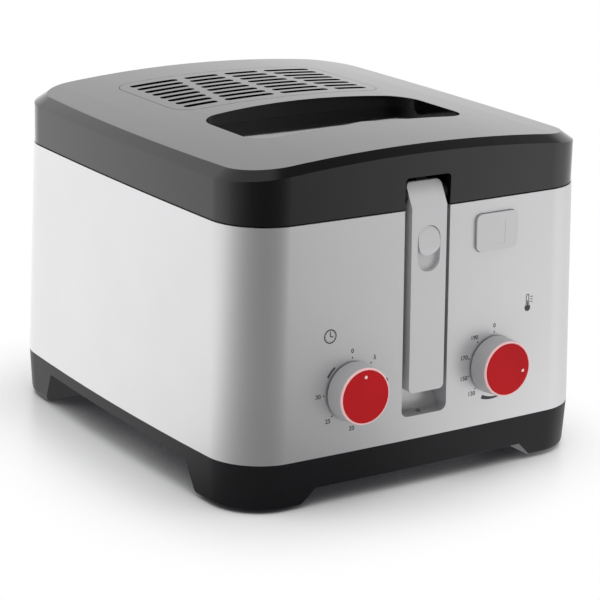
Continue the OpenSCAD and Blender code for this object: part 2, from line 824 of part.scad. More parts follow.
module timer() {
    color("silver") out_of_front(-knob_x, z_knob) difference() {
        union() {
            translate([0, 0, -pad_face - 13]) cylinder(r = 17, h = 13);
            translate([-3, 12, -pad_face - 10]) cube([6, 9, 3]);
        }
        translate([0, 0, -pad_face - bore_deep]) cylinder(r = spindle_r + shaft_fit, h = bore_deep + past);
    }
}

module thermal_fuse() {
    color("ivory") translate([-20, bowl_y + 20, heater_z - 2.55]) rotate([0, 90, 0]) {
        cylinder(r = 2.5, h = 18);
        translate([0, 0, -8]) cylinder(r = 0.6, h = 34);
    }
}

block_w = 36;
block_d = 14;
block_h = 12;
block_pitch = 11;
block_y = side_half - foot_slant - block_d - 1.5;
module terminal_block() {
    color("ivory") difference() {
        translate([gland_x - block_w / 2, block_y, z_floor + base_floor]) cube([block_w, block_d, block_h]);
        for (i = [-1:1])
            translate([gland_x + block_pitch * i, block_y + block_d / 2, z_floor + base_floor + block_h / 2])
                cylinder(r = 2.2, h = block_h);
    }
}

// Wires from the terminal block, under the heat shield, to the timer, thermostat and heater
module wiring() {
    z0 = z_floor + base_floor + block_h / 2;
    z_run = z_floor + base_floor + 3;
    rise_y = y_front(knob_x, z_seam) + pad_face + 19;
    for (w = [[0, -knob_x], [block_pitch, knob_x]])
        color(w[0] > 0 ? "sienna" : "royalblue") wire([
            [gland_x + w[0], block_y - 0.1, z0], [gland_x + w[0], block_y - 6, z0],
            [gland_x + w[0], block_y - 10, z_run], [w[1], foot_slant - side_half, z_run],
            [w[1], rise_y, z_run], [w[1], rise_y - 3, z_run + 5],
            [w[1], rise_y - 3, z_knob - 19], [w[1], rise_y - 2, z_knob - 18]], 1.4);
}

module cord_gland() {
    color("#262626") translate([gland_x, gland_y, gland_z]) rotate([-90, 0, 0]) difference() {
        union() {
            cylinder(r = 9, h = 3);
            translate([0, 0, 3]) cylinder(r = 7, h = 5);
            translate([-gland_body_r, -gland_body_r, -body_wall - 3.9])
                cube([2 * gland_body_r, 2 * gland_body_r, body_wall + 4.9]);
            translate([0, 0, -body_wall - 12]) cylinder(r = gland_body_r, h = body_wall + 12);
        }
        translate([0, 0, -40]) cylinder(r = gland_r, h = 60);
    }
}

module gland_nut() {
    color("#262626") translate([gland_x, gland_y - body_wall - 4 - 5, gland_z]) rotate([-90, 0, 0])
        difference() {
            cylinder(r = 10, h = 5, $fn = 6);
            translate([0, 0, -past]) cylinder(r = gland_body_r + shaft_fit, h = 5 + 2 * past);
        }
}

// ---- Lift gear ----

// Degrees between a flank and the tooth's radius, for an involute
function involute(a) = tan(a) * 180 / PI - a;
function tooth_half(r) = tooth_step / 4 - gear_play / gear_r * 180 / PI + involute(pressure)
    - involute(acos(min(1, base_circle / r)));
function polar(r, a) = [r * cos(a), r * sin(a)];

// Sector of a gear, its teeth starting at an angle
module gear_segment(first) {
    flank = [for (i = [0:4]) root_r + (tip_r - root_r) * i / 4];
    polygon(concat([[0, 0]], [for (k = [0:cut_teeth - 1]) each let (a = first + k * tooth_step) concat(
        [for (r = flank) polar(r, a - tooth_half(r))],
        [for (i = [4:-1:0]) polar(flank[i], a + tooth_half(flank[i]))])]));
}

module lift_bracket() {
    foot_front = y_front(0, z_lid) + channel_d + body_wall + 0.9;
    foot_back = bowl_y - bowl_hd - bowl_rim - 0.5;
    module cheek() {
        side_on(0, 0, cheek_x) difference() {
            linear_extrude(cheek_t) {
                translate([fold_y, fold_z]) circle(hub_r);
                translate([lever_y, fold_z]) circle(hub_r);
                translate([fold_y, fold_z - hub_r + 0.5]) square([2 * gear_r, 2 * hub_r - 1]);
                polygon([[foot_front, z_deck], [foot_back, z_deck], [foot_back, z_deck + 3.5],
                    [foot_back + 5, fold_z], [foot_front - 5, fold_z], [foot_front, z_deck + 3.5]]);
            }
            for (y = [fold_y, lever_y]) translate([y, fold_z, -past])
                cylinder(r = shaft_r, h = cheek_t + 2 * past);
        }
    }
    color("#262626") {
        both_sides() cheek();
        translate([-cheek_x - 0.5, foot_front, z_deck])
            cube([2 * cheek_x + 1, foot_back - foot_front, 2.3]);
    }
}

// Shaft through both cheeks, with a collar beyond each
module cheek_shaft(y) {
    out = cheek_x + cheek_t;
    color("silver") side_on(y, fold_z, -out) {
        cylinder(r = shaft_r, h = 2 * out);
        for (z = [-0.4, 2 * out]) translate([0, 0, z]) cylinder(r = shaft_r + 1, h = 0.4);
    }
}
module handle_shaft() { cheek_shaft(fold_y); }
module lever_shaft() { cheek_shaft(lever_y); }

module handle_gear() {
    color("#262626") side_on(fold_y, fold_z, -gear_w / 2) difference() {
        linear_extrude(gear_w) {
            gear_segment(-tooth_step / 2);
            circle(gear_hub_r);
        }
        translate([0, 0, -past]) cylinder(r = shaft_r + shaft_fit, h = gear_w + 2 * past);
    }
}

pin_r = 2.5;
arm_half = 4;
lever_w = gear_w - 0.6;   // runs in the handle's slot beside the handle's own gear
module lift_lever() {
    color("#262626") side_on(lever_y, fold_z, -lever_w / 2) difference() {
        linear_extrude(lever_w) {
            gear_segment(90);
            circle(hub_r);
            rotate(-45) translate([0, -arm_half]) square([lever_len, 2 * arm_half]);
            rotate(-45) translate([lever_len, 0]) circle(arm_half + 0.8);
        }
        translate([0, 0, -past]) cylinder(r = shaft_r + shaft_fit, h = lever_w + 2 * past);
        rotate(-45) translate([lever_len, 0, -past]) cylinder(r = pin_r, h = lever_w + 2 * past);
    }
}

bracket_in = gear_w / 2 + 2;
bracket_t = 2.5;
bracket_w = 14;
module crank_pin() {
    out = bracket_in + bracket_t + 0.8;
    color("silver") side_on(lever_y + pin_out, pin_z, -out) cylinder(r = pin_r, h = 2 * out);
}

// ---- Handle and its slide ----

module handle_grip() {
    up = [sin(tilt), cos(tilt)];
    inwards = [cos(tilt), -sin(tilt)];
    bend = [bend_y, bend_z];
    foot = bend - handle_len * up;
    top = [fold_y - 1.5, fold_z + handle_top];
    lean = unit(top - bend);
    behind = plate_t * [lean.y, -lean.x];
    color("lightgray") difference() {
        intersection() {
            rotate([90, 0, 90]) linear_extrude(handle_w, center = true) {
                polygon([bend, foot, foot + handle_t * inwards, bend + handle_t * inwards,
                    [fold_y + 5, fold_z - 4], [fold_y + 5, fold_z + 4],
                    [fold_y + 1.5, fold_z + handle_top], top]);
                translate([fold_y, fold_z]) circle(hub_r);
            }
            translate([0, 0, (foot.y + top.y) / 2]) rotate([90, 0, 0]) linear_extrude(2 * seam_depth)
                polygon(outline(handle_w / 2, (top.y - foot.y) / 2, handle_r));
        }
        // Room for the gear behind the face
        rotate([90, 0, 90]) linear_extrude(gear_w, center = true) polygon([
            bend + behind - 8 * up, bend + behind, top + behind + 3 * lean, top + [30, 10],
            bend + [30, -8]]);
        side_on(fold_y, fold_z, -handle_w) cylinder(r = shaft_r + shaft_fit, h = 2 * handle_w);
        on_handle() {
            // Recess, slot and rear pocket of the thumb slide
            translate([0, thumb_depth, thumb_z]) rotate([90, 0, 0]) linear_extrude(handle_t)
                polygon(outline(thumb_w / 2, thumb_len / 2, thumb_w / 2 - 0.1, 10));
            translate([-stem_w / 2 - 0.3, 0, lug_z - stem_h / 2 - thumb_travel - 0.3])
                cube([stem_w + 0.6, 2 * handle_t, stem_h + thumb_travel + 0.6]);
            translate([-pocket_w / 2, handle_t - pocket_d, lug_z - pocket_below])
                cube([pocket_w, pocket_d + past, pocket_below + hook_plate / 2 + 0.4]);
        }
    }
}

stem_w = 5;
stem_h = 6;
pocket_w = 13;
pocket_d = 2.6;
hook_plate = 13;     // length of the plate behind the handle
thumb_coil = 5;      // length of the slide's spring when it is pressed
lug_z = thumb_z + (thumb_len - lug_len) / 2 - 0.4;
pocket_below = hook_plate / 2 + thumb_travel + thumb_coil + 0.3;

module thumb_slide() {
    color("lightgray") on_handle() {
        intersection() {
            translate([0, handle_t, lug_z]) rotate([90, 0, 0]) linear_extrude(2 * handle_t)
                polygon(outline(thumb_w / 2 - 0.4, lug_len / 2, thumb_w / 2 - 0.5, 10));
            // Face of the lug, rising towards its lower end
            rotate([90, 0, 90]) linear_extrude(thumb_w, center = true) polygon([
                [thumb_depth - 0.2, lug_z + lug_len], [thumb_depth - 0.2, lug_z - lug_len],
                [0.6, lug_z - lug_len / 2 + 1], [-0.9, lug_z - lug_len / 2 + 5],
                [1, lug_z + lug_len / 2], [1, lug_z + lug_len]]);
        }
        translate([-stem_w / 2, thumb_depth - 0.2, lug_z - stem_h / 2])
            cube([stem_w, handle_t - thumb_depth - pocket_d + 0.5, stem_h]);
        translate([-pocket_w / 2 + 0.4, handle_t - pocket_d + 0.3, lug_z - hook_plate / 2])
            cube([pocket_w - 0.8, pocket_d - 0.6, hook_plate]);
    }
}

module thumb_spring() {
    color("silver") on_handle()
        translate([0, handle_t - pocket_d / 2, lug_z - pocket_below])
            coil(0.9, 0.3, thumb_coil, 6);
}

// ---- Basket ----

basket_r = 6;
basket_top = z_basket + basket_h;

// Plate with a grid of square holes
module grid(points, w, h, t) {
    a = (grid_pitch - grid_bar) / 2;
    nx = floor((w - grid_bar) / grid_pitch);
    ny = floor((h - grid_bar) / grid_pitch);
    holes = [for (i = [0:nx - 1], j = [0:ny - 1]) let (
        c = [i - (nx - 1) / 2, j - (ny - 1) / 2] * grid_pitch
    ) [c + [-a, -a], c + [a, -a], c + [a, a], c + [-a, a]]];
    n = len(points);
    linear_extrude(t) polygon(
        points = concat(points, [for (q = holes) each q]),
        paths = concat([[for (i = [0:n - 1]) i]],
            [for (k = [0:len(holes) - 1]) [for (i = [0:3]) n + 4 * k + i]]));
}

module basket_frame() {
    color("silver") difference() {
        plate(outline(basket_hw, basket_hd, basket_r), z_basket, basket_h, bowl_y);
        plate(outline(basket_hw - frame_bar, basket_hd - frame_bar, basket_r - frame_bar),
            z_basket - past, basket_h + 2 * past, bowl_y);
        translate([0, bowl_y, z_basket + basket_h / 2]) {
            cube([2 * (basket_hw - basket_r), 3 * basket_hd, basket_h - 2 * frame_bar], center = true);
            cube([3 * basket_hw, 2 * (basket_hd - basket_r), basket_h - 2 * frame_bar], center = true);
        }
    }
}

module basket_mesh() {
    w = 2 * (basket_hw - basket_r);
    d = 2 * (basket_hd - basket_r);
    h = basket_h - 2 * frame_bar;
    in = (frame_bar - grid_t) / 2;
    color("silver") translate([0, bowl_y, z_basket + basket_h / 2]) {
        for (y = [-basket_hd + in + grid_t, basket_hd - in]) translate([0, y, 0]) rotate([90, 0, 0])
            grid(outline(w / 2, h / 2, 0.01, 1), w, h, grid_t);
        for (x = [-basket_hw + in, basket_hw - in - grid_t]) translate([x, 0, 0]) rotate([90, 0, 90])
            grid(outline(d / 2, h / 2, 0.01, 1), d, h, grid_t);
        translate([0, 0, -basket_h / 2 + in])
            grid(outline(basket_hw - frame_bar, basket_hd - frame_bar, basket_r - frame_bar),
                w, d, grid_t);
    }
}

module basket_bracket() {
    slot_y = lever_y + pin_out - pin_r - 0.7;
    slot_end = lever_y + lever_len + pin_r + 0.7;
    half = pin_r + pin_slack;
    foot_y = bowl_y - basket_hd + frame_bar;
    low_z = basket_top - 14;
    color("silver") {
        both_sides() rotate([90, 0, 90]) translate([0, 0, bracket_in]) linear_extrude(bracket_t)
            difference() {
                polygon([[foot_y, low_z], [foot_y + 8, low_z], [foot_y + 8, pin_z - half - 3],
                    [slot_end + 3, pin_z - half - 3], [slot_end + 3, pin_z + half + 3],
                    [slot_y - 3, pin_z + half + 3], [slot_y - 3, pin_z - half - 3],
                    [foot_y, pin_z - half - 7]]);
                translate([slot_y, pin_z - half]) square([slot_end - slot_y, 2 * half]);
            }
        translate([-bracket_w, foot_y, low_z]) cube([2 * bracket_w, 1.6, basket_top - low_z]);
    }
}

// ---- Knobs ----

cap_r = knob_r - knob_draft - rim_w;
module knob_place(x) {
    out_of_front(x, z_knob) translate([0, 0, knob_gap]) children();
}
module knob(x) {
    top = knob_h - cap_h - 2;
    color("whitesmoke") knob_place(x) rotate_extrude($fn = 96) polygon([
        [spindle_r, 0], [spindle_r + 4, 0], [spindle_r + 4, top], [knob_r - 3, top],
        [knob_r - 2.5, 0], [knob_r, 0], [knob_r - knob_draft, knob_h - rim_h],
        [cap_r, knob_h - rim_h], [cap_r, knob_h - cap_h], [spindle_r, knob_h - cap_h]]);
}
module knob_rim(x) {
    color("mistyrose") knob_place(x) translate([0, 0, knob_h - rim_h]) rotate_extrude($fn = 96)
        polygon([[cap_r, 0], [knob_r - knob_draft, 0], [knob_r - knob_draft - 0.6, rim_h - 0.3],
            [cap_r, rim_h - 0.3]]);
}
// Red cap with a dimple as its pointer
module knob_cap(x, pointer) {
    color("firebrick") knob_place(x) difference() {
        translate([0, 0, knob_h - cap_h]) cylinder(r = cap_r, h = cap_h, $fn = 96);
        rotate([0, 0, pointer]) translate([cap_r - 4.5, 0, knob_h - 0.6]) cylinder(r = 1.3, h = 2);
    }
}
module knob_shaft(x) {
    color("silver") knob_place(x) translate([0, 0, -knob_gap - pad_face - bore_deep + 0.5])
        cylinder(r = spindle_r, h = knob_gap + pad_face + bore_deep - 0.5 + knob_h - cap_h);
}
module time_knob() { knob(-knob_x); }
module time_knob_rim() { knob_rim(-knob_x); }
module time_knob_cap() { knob_cap(-knob_x, 90); }
module time_shaft() { knob_shaft(-knob_x); }
module temp_knob() { knob(knob_x); }
module temp_knob_rim() { knob_rim(knob_x); }
module temp_knob_cap() { knob_cap(knob_x, -15); }
module temp_shaft() { knob_shaft(knob_x); }

// ---- Release button and latch ----

spring_low = -7.75;  // button's spring below the button's middle
rest_w = 13;
rest_h = 15;
rest_up = 4;
rest_d = 0.15;
module release_button() {
    color("lightgray") out_of_front(button_x, z_button) {
        difference() {
            union() {
                translate([0, 0, -button_d]) linear_extrude(button_d + button_proud)
                    polygon(outline(button_w / 2, button_h / 2, button_r));
                // Flange at the sides and the bottom
                translate([0, -flange_w / 2, -button_d]) linear_extrude(flange_t)
                    polygon(outline(button_w / 2 + flange_w, (button_h + flange_w) / 2, button_r));
            }
            // Shallow finger rest
            translate([-rest_w / 2, rest_up - button_h / 2, button_proud - rest_d])
                cube([rest_w, rest_h, rest_d + past]);
            difference() {
                translate([0, 0, -button_d - past]) linear_extrude(button_d + past + button_proud - 2)
                    polygon(outline(button_w / 2 - 2, button_h / 2 - 2, button_r - 1.5));
                translate([0, spring_low, -button_d]) cylinder(r = 5.5, h = button_d + button_proud);
                for (s = [-1, 1]) translate([s * 10 - 2.5, 2, -button_d])
                    cube([5, 8, button_d + button_proud]);
            }
        }
    }
}

module latch_slide() {
    bar = catch_y + catch_t + hook_len + latch_gap - y_front(button_x, z_button);
    color("silver") on_front(button_x, z_button) translate([0, 0, latch_z - z_button]) {
        for (s = [-1, 1]) translate([s * 10 - 2, button_d, 0]) cube([4, bar - button_d + 3, 3]);
        translate([-12, bar, 0]) cube([24, 3, 3]);
    }
}

module button_spring() {
    length = spring_seat - button_d - button_travel - 0.3;
    color("silver") on_front(button_x, z_button) translate([0, spring_seat, spring_low])
        rotate([90, 0, 0]) coil(4, 0.5, length, 5);
}

module lid_catch() {
    color("silver") translate([button_x, catch_y, 0]) {
        translate([-catch_w / 2, 0, hook_z]) cube([catch_w, catch_t, z_liner - hook_z]);
        translate([-catch_w / 2, 0, hook_z]) cube([catch_w, catch_t + hook_len, hook_h]);
        translate([-catch_w / 2 - 4, 0, z_liner - 2]) cube([catch_w + 8, 9, 2]);
    }
}

// ---- Hinge ----

pin_inner = hinge_x - arm_w / 2 - ear_gap - ear_w;
pin_outer = hinge_x + arm_w / 2 + ear_gap + ear_w;
spring_run = 9;      // length of the coils beside the inner ears
module hinge_pins() {
    color("silver") both_sides() side_on(hinge_y, hinge_z, pin_inner - spring_run - 1.5) {
        cylinder(r = shaft_r, h = pin_outer - pin_inner + spring_run + 2.5);
        cylinder(r = shaft_r + 2, h = 1);
    }
}
module lid_springs() {
    color("dimgray") both_sides() side_on(hinge_y, hinge_z, pin_inner - spring_run)
        coil(shaft_r + 0.9, 0.6, spring_run, 6);
}

// ---- Lid ----

module crown_solid(half, z) {
    translate([0, 0, z - sqrt(crown_r * crown_r - half * half)]) rotate([90, 0, 0])
        cylinder(r = crown_r, h = 2 * seam_depth, center = true, $fn = 360);
}

// The lid's outer form, or its inside when drawn in by the wall
module lid_form(inset) {
    z0 = z_lid + lid_gap - (inset > 1 ? past : 0);
    hull() {
        intersection() {
            plate(bowed(band_hw - inset, band_hd - inset, corner_r - inset, side_bow, front_bow), z0, 90);
            crown_solid(band_hw, z_band - inset);
        }
        intersection() {
            plate(bowed(top_hw - inset, top_hd - inset, top_r - inset, side_bow + 2, front_bow), z0, 90);
            crown_solid(top_hw, z_edge - inset);
        }
    }
}

function tab(x) = abs(x) > window_tab_w / 2 ? 0 : window_tab_d * (1 + cos(360 * x / window_tab_w)) / 2;
function window_outline(grow) = let (
    hw = window_w / 2 + grow,
    hd = (window_front - window_back) / 2 + grow,
    y0 = -(window_front + window_back) / 2
) [for (p = outline(hw, hd, window_r + grow, 6, 16))
    [p.x, y0 + p.y + (p.y > 0 ? window_bow * (1 - pow(p.x / hw, 2)) : tab(p.x))]];
function cover_outline(grow) = outline(cover_w / 2 + grow, cover_d / 2 + grow, cover_r + grow);

lip_t = 2;
z_lip = z_glass - glass_t - seal_t - lip_t;
lid_boss_x = band_hw - 15;
lid_boss_y = band_hd - 19;
notch_back = 15;     // depth of the notch's walls behind the band's face
module lid_bosses(r, z, h) {
    at_corners(lid_boss_x, lid_boss_y) translate([0, 0, z]) cylinder(r = r, h = h);
    both_sides() translate([band_hw - 10, bowl_y, z]) cylinder(r = r, h = h);
}
module notch(grow) {
    depth = notch_back + 5 + (grow > 0 ? 0 : past);
    translate([0, y_front(0, z_lid) - 5 + depth, z_lid]) rotate([90, 0, 0]) linear_extrude(depth)
        polygon(outline(channel_w / 2 + grow, notch_h + grow, notch_r + grow));
}

module lid_shell() {
    color("#161616") difference() {
        union() {
            difference() {
                lid_form(0);
                lid_form(lid_wall);
            }
            intersection() {
                lid_form(0.2);
                union() {
                    difference() {
                        union() {
                            plate(window_outline(lid_wall), z_lip, 60);
                            plate(cover_outline(cover_gap + lid_wall), z_tray - lip_t, 60, vent_y);
                        }
                        plate(window_outline(-glass_lip), z_lip - past, 60);
                        plate(cover_outline(-glass_lip), z_tray - lip_t - past, 60, vent_y);
                    }
                    lid_bosses(lid_boss_r, z_liner + liner_t, 60);
                    notch(lid_wall);
                }
            }
            both_sides() side_on(hinge_y, hinge_z, hinge_x - arm_w / 2) linear_extrude(arm_w) {
                circle(knuckle_r);
                polygon([[-hinge_back - 2.5, -2.5], [0, -2.5], [0, knuckle_r - 0.1],
                    [-hinge_back - 2.5, 18]]);
            }
        }
        plate(window_outline(0), z_lip + lip_t, 60);
        plate(cover_outline(cover_gap), z_tray, 60, vent_y);
        notch(0);
        lid_bosses(pilot_r, z_liner, liner_t + 14);
        side_on(hinge_y, hinge_z, -2 * hinge_x) cylinder(r = shaft_r + shaft_fit, h = 4 * hinge_x);
    }
}

module lid_liner() {
    color("silver") difference() {
        plate(bowed(band_hw - lid_wall - 0.4, band_hd - lid_wall - 0.4, corner_r - lid_wall,
            side_bow, front_bow), z_liner, liner_t);
        plate(bowl_outline(-6), z_liner - past, 2 * past + liner_t, bowl_y);
        translate([-liner_cut, -seam_depth, z_liner - past])
            cube([2 * liner_cut, seam_depth + bowl_y - bowl_hd + 30, 2 * past + liner_t]);
        lid_bosses(pilot_r, z_liner - past, 2 * past + liner_t);
    }
}

module liner_screws() {
    color("silver") {
        at_corners(lid_boss_x, lid_boss_y) translate([0, 0, z_liner]) screw(12);
        both_sides() translate([band_hw - 10, bowl_y, z_liner]) screw(12);
    }
}

module lid_gasket() {
    color("#2b2b2b") difference() {
        plate(bowl_outline(rim_mid + gasket_w / 2), z_gasket, gasket_h, bowl_y);
        plate(bowl_outline(rim_mid - gasket_w / 2), z_gasket - past, gasket_h + 2 * past, bowl_y);
        translate([-liner_cut, -seam_depth, z_gasket - past])
            cube([2 * liner_cut, seam_depth + bowl_y - bowl_hd + 30, gasket_h + 2 * past]);
    }
}

module window_seal() {
    color("#2b2b2b") difference() {
        plate(window_outline(-0.4), z_lip + lip_t, seal_t);
        plate(window_outline(-glass_lip + 0.5), z_lip + lip_t - past, seal_t + 2 * past);
    }
}
module window_glass() {
    color("slategray") plate(window_outline(-0.3), z_glass - glass_t, glass_t);
}

module filter_tray() {
    color("#2b2b2b") translate([0, vent_y, z_tray]) grid(cover_outline(0),
        cover_w - 16, cover_d - 16, tray_t);
}
module grease_filter() {
    color("white") plate(cover_outline(-skirt_t - 0.5), z_grease - grease_t, grease_t, vent_y);
}
module charcoal_filter() {
    color("#222222") plate(cover_outline(-skirt_t - 0.5), z_grease, charcoal_t, vent_y);
}

// Middle of a web between two columns of slots, in a row counted from 0 at the front to 1 at the back
function web_x(k, row) = let (u = 2 * k / slot_columns - 1)
    u * (cover_w / 2 - slot_margin + slot_web / 2) + sign(u) * (web_out - (web_out + web_in) * row);
function slot_start(k, row) = k == 0 ? slot_margin - cover_w / 2 : web_x(k, row) + slot_web / 2;
function slot_end(k, row) = -slot_start(slot_columns - 1 - k, row);

module filter_cover() {
    row_pitch = (cover_d - 2 * slot_margin - slot_h) / (slot_rows - 1);
    color("#161616") difference() {
        intersection() {
            plate(cover_outline(0), z_tray + tray_t, 60, vent_y);
            crown_solid(top_hw, z_edge);
        }
        intersection() {
            plate(cover_outline(-skirt_t), z_tray, 60, vent_y);
            crown_solid(top_hw, z_edge - cover_t);
        }
        for (k = [0:slot_columns - 1], j = [0:slot_rows - 1]) let (
            a = slot_start(k, j / (slot_rows - 1)),
            b = slot_end(k, j / (slot_rows - 1))
        ) translate([(a + b) / 2, vent_y + (j - (slot_rows - 1) / 2) * row_pitch, z_charcoal + 1])
            linear_extrude(60) polygon(outline((b - a) / 2, slot_h / 2, slot_h / 2 - 0.2, 4));
    }
}

housing();
base();
foot_pads();
base_screws();
deck_ring();
bowl();
heat_shield();
heater_plate();
heating_element();
heater_posts();
thermostat();
thermostat_bulb();
timer();
thermal_fuse();
terminal_block();
wiring();
cord_gland();
gland_nut();
lift_bracket();
handle_shaft();
lever_shaft();
hinge_pins();
lid_springs();
time_knob();
time_knob_rim();
time_knob_cap();
time_shaft();
temp_knob();
temp_knob_rim();
temp_knob_cap();
temp_shaft();
release_button();
latch_slide();
button_spring();
handle_grip();
handle_gear();
thumb_slide();
thumb_spring();
lift_lever();
crank_pin();
basket_frame();
basket_mesh();
basket_bracket();
lid_shell();
lid_liner();
lid_gasket();
window_seal();
window_glass();
filter_tray();
grease_filter();
charcoal_filter();
filter_cover();
lid_catch();
liner_screws();
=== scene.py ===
import json
import math

import bmesh
import bpy
from mathutils import Matrix, Vector
from mathutils.bvhtree import BVHTree


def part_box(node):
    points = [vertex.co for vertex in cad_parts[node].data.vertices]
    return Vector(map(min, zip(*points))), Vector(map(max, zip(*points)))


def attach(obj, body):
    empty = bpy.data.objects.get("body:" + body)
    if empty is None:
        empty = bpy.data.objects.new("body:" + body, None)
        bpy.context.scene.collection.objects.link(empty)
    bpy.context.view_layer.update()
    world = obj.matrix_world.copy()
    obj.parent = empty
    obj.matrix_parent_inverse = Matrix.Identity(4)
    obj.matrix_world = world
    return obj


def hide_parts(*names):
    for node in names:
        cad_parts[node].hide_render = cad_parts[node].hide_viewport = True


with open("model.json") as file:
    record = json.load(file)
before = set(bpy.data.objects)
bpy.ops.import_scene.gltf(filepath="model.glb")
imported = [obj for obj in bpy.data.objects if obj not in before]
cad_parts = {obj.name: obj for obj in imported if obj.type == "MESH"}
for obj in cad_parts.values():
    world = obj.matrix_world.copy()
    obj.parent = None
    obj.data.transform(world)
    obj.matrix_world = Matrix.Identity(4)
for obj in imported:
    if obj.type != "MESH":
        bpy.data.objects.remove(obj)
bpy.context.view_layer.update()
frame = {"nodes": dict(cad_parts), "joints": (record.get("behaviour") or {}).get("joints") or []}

scene = bpy.context.scene

# ---- Camera ----
# It stands at the front left corner, a little above the lid, with a long lens,
# so that the upright edges of the fryer stay nearly parallel.

CAMERA_AT = Vector((-0.8639, -1.3145, 0.5569))
CAMERA_AIM = Vector((0.0042, -0.0028, 0.0865))
CAMERA_ROLL = math.radians(1.416)
LENS_MM = 137.48
SENSOR_MM = 36


def link(name, data):
    """A new object in the scene."""
    made = bpy.data.objects.new(name, data)
    scene.collection.objects.link(made)
    return made


lens = bpy.data.cameras.new("camera")
lens.lens = LENS_MM
lens.sensor_width = SENSOR_MM
lens.clip_start = 0.05
lens.clip_end = 30
camera = link("camera", lens)
facing = (CAMERA_AIM - CAMERA_AT).to_track_quat("-Z", "Y").to_matrix()
camera.matrix_world = (Matrix.Translation(CAMERA_AT)
                       @ (facing @ Matrix.Rotation(CAMERA_ROLL, 3, "Z")).to_4x4())
scene.camera = camera

# ---- Floor, backdrop and lamps ----
# None of it is part of the fryer. A pale table top runs out into a white backdrop, under
# large soft boxes. In its gloss the fryer shows a ring of white sheets, with a dark gap
# between them at the front left corner.


class Value:
    """A socket in a node tree, with the operators that its maths is written in."""

    def __init__(self, tree, socket=None):
        self.tree = tree
        self.socket = socket

    def node(self, kind, settings=None, sockets=None, output=0):
        """Any node, its settings first and then the values or links of its sockets."""
        made = self.tree.nodes.new(kind)
        for name, setting in (settings or {}).items():
            setattr(made, name, setting)
        for key, value in (sockets or {}).items():
            if isinstance(value, Value):
                self.tree.links.new(value.socket, made.inputs[key])
            else:
                made.inputs[key].default_value = value
        return Value(self.tree, made.outputs[output]) if made.outputs else None

    def maths(self, operation, *others):
        return self.node("ShaderNodeMath", {"operation": operation},
                         dict(enumerate((self, *others))))

    def flipped(self, operation, other):
        return self.node("ShaderNodeMath", {"operation": operation}, {0: other, 1: self})

    def __add__(self, other):
        return self.maths("ADD", other)

    def __sub__(self, other):
        return self.maths("SUBTRACT", other)

    def __mul__(self, other):
        return self.maths("MULTIPLY", other)

    def __truediv__(self, other):
        return self.maths("DIVIDE", other)

    def __rsub__(self, other):
        return self.flipped("SUBTRACT", other)

    def __rtruediv__(self, other):
        return self.flipped("DIVIDE", other)

    __radd__ = __add__
    __rmul__ = __mul__

    def vector(self, operation, *others, output=0):
        """The same for vectors."""
        return self.node("ShaderNodeVectorMath", {"operation": operation},
                         dict(enumerate((self, *others))), output)

    def clamp(self):
        return self.node("ShaderNodeClamp", None, {0: self})

    def between(self, low, high):
        """0 below low, 1 above high and smooth between them."""
        return self.node("ShaderNodeMapRange", {"interpolation_type": "SMOOTHSTEP"},
                         {0: self, 1: low, 2: high, 3: 0.0, 4: 1.0})

    def part(self, axis):
        return self.node("ShaderNodeSeparateXYZ", None, {0: self}, "XYZ".index(axis))

    def blend(self, first, second):
        """The colour first where this is 0 and second where it is 1."""
        return self.node("ShaderNodeMix", {"data_type": "RGBA"}, {0: self, 6: first, 7: second}, 2)


def colour(red, green, blue):
    return (red, green, blue, 1.0)


WHITE = colour(1, 1, 1)


def start_material(name):
    """A new material with an empty tree, and a value to build it from."""
    material = bpy.data.materials.new(name)
    material.use_nodes = True
    material.node_tree.nodes.clear()
    return material, Value(material.node_tree)


def end_material(tree, shader):
    tree.node("ShaderNodeOutputMaterial", None, {"Surface": shader})


def compass(azimuth):
    """A level direction, its azimuth counted from the front towards the right."""
    return (math.sin(math.radians(azimuth)), -math.cos(math.radians(azimuth)), 0)


def bearing(place, start=(0, 0, 0)):
    """The level direction in which a place lies from a start."""
    gap = place.vector("SUBTRACT", start)
    return gap.vector("MULTIPLY", (1, 1, 0)).vector("NORMALIZE")


def towards(direction, azimuth, low, high):
    """How far a direction points to an azimuth: 0 at the low cosine, 1 at the high one."""
    return direction.vector("DOT_PRODUCT", compass(azimuth), output="Value").between(low, high)


# Each row is a side that the sheets don't light fully: its azimuth, the cosines between
# which the loss grows, and the whole loss.
DARK_GAP = (-25, -0.02, 1.1, 0.95)
LEFT_LOSS = (-100, 0.5, 1.0, 0.15)
RIGHT_LOSS = (100, 0.55, 1.0, 0.3)


def sheets(level):
    """How bright the white sheets are in a level direction."""
    gap, left, right = (1 - towards(level, azimuth, low, high) * loss
                        for azimuth, low, high, loss in (DARK_GAP, LEFT_LOSS, RIGHT_LOSS))
    return gap * (left * right)


FLOOR_HALF = 4.0
FLOOR_COLOUR = colour(0.93, 0.93, 0.93)
# Painted contact shadow: near the fryer the table top's colour and glow darken to these.
PAINTED_FLOOR_SHADOW = colour(0.03, 0.03, 0.04)
FLOOR_GLOW = 0.12
PAINTED_GLOW_SHADOW = colour(0.1, 0.1, 0.12)
FLOOR_IN_GLOSS = 1.18
NEAR_REACH = 0.08
NEAR_RANGE = (0.06, 0.62)
CORE_X = 0.09
CORE_Y = 0.105
FADE_RANGE = (0.07, 0.17)
LIT_SIDE = (75, 0.1, 0.9)
LIT_GAIN = 0.04
GAP_START = (-0.05, -0.065, 0)
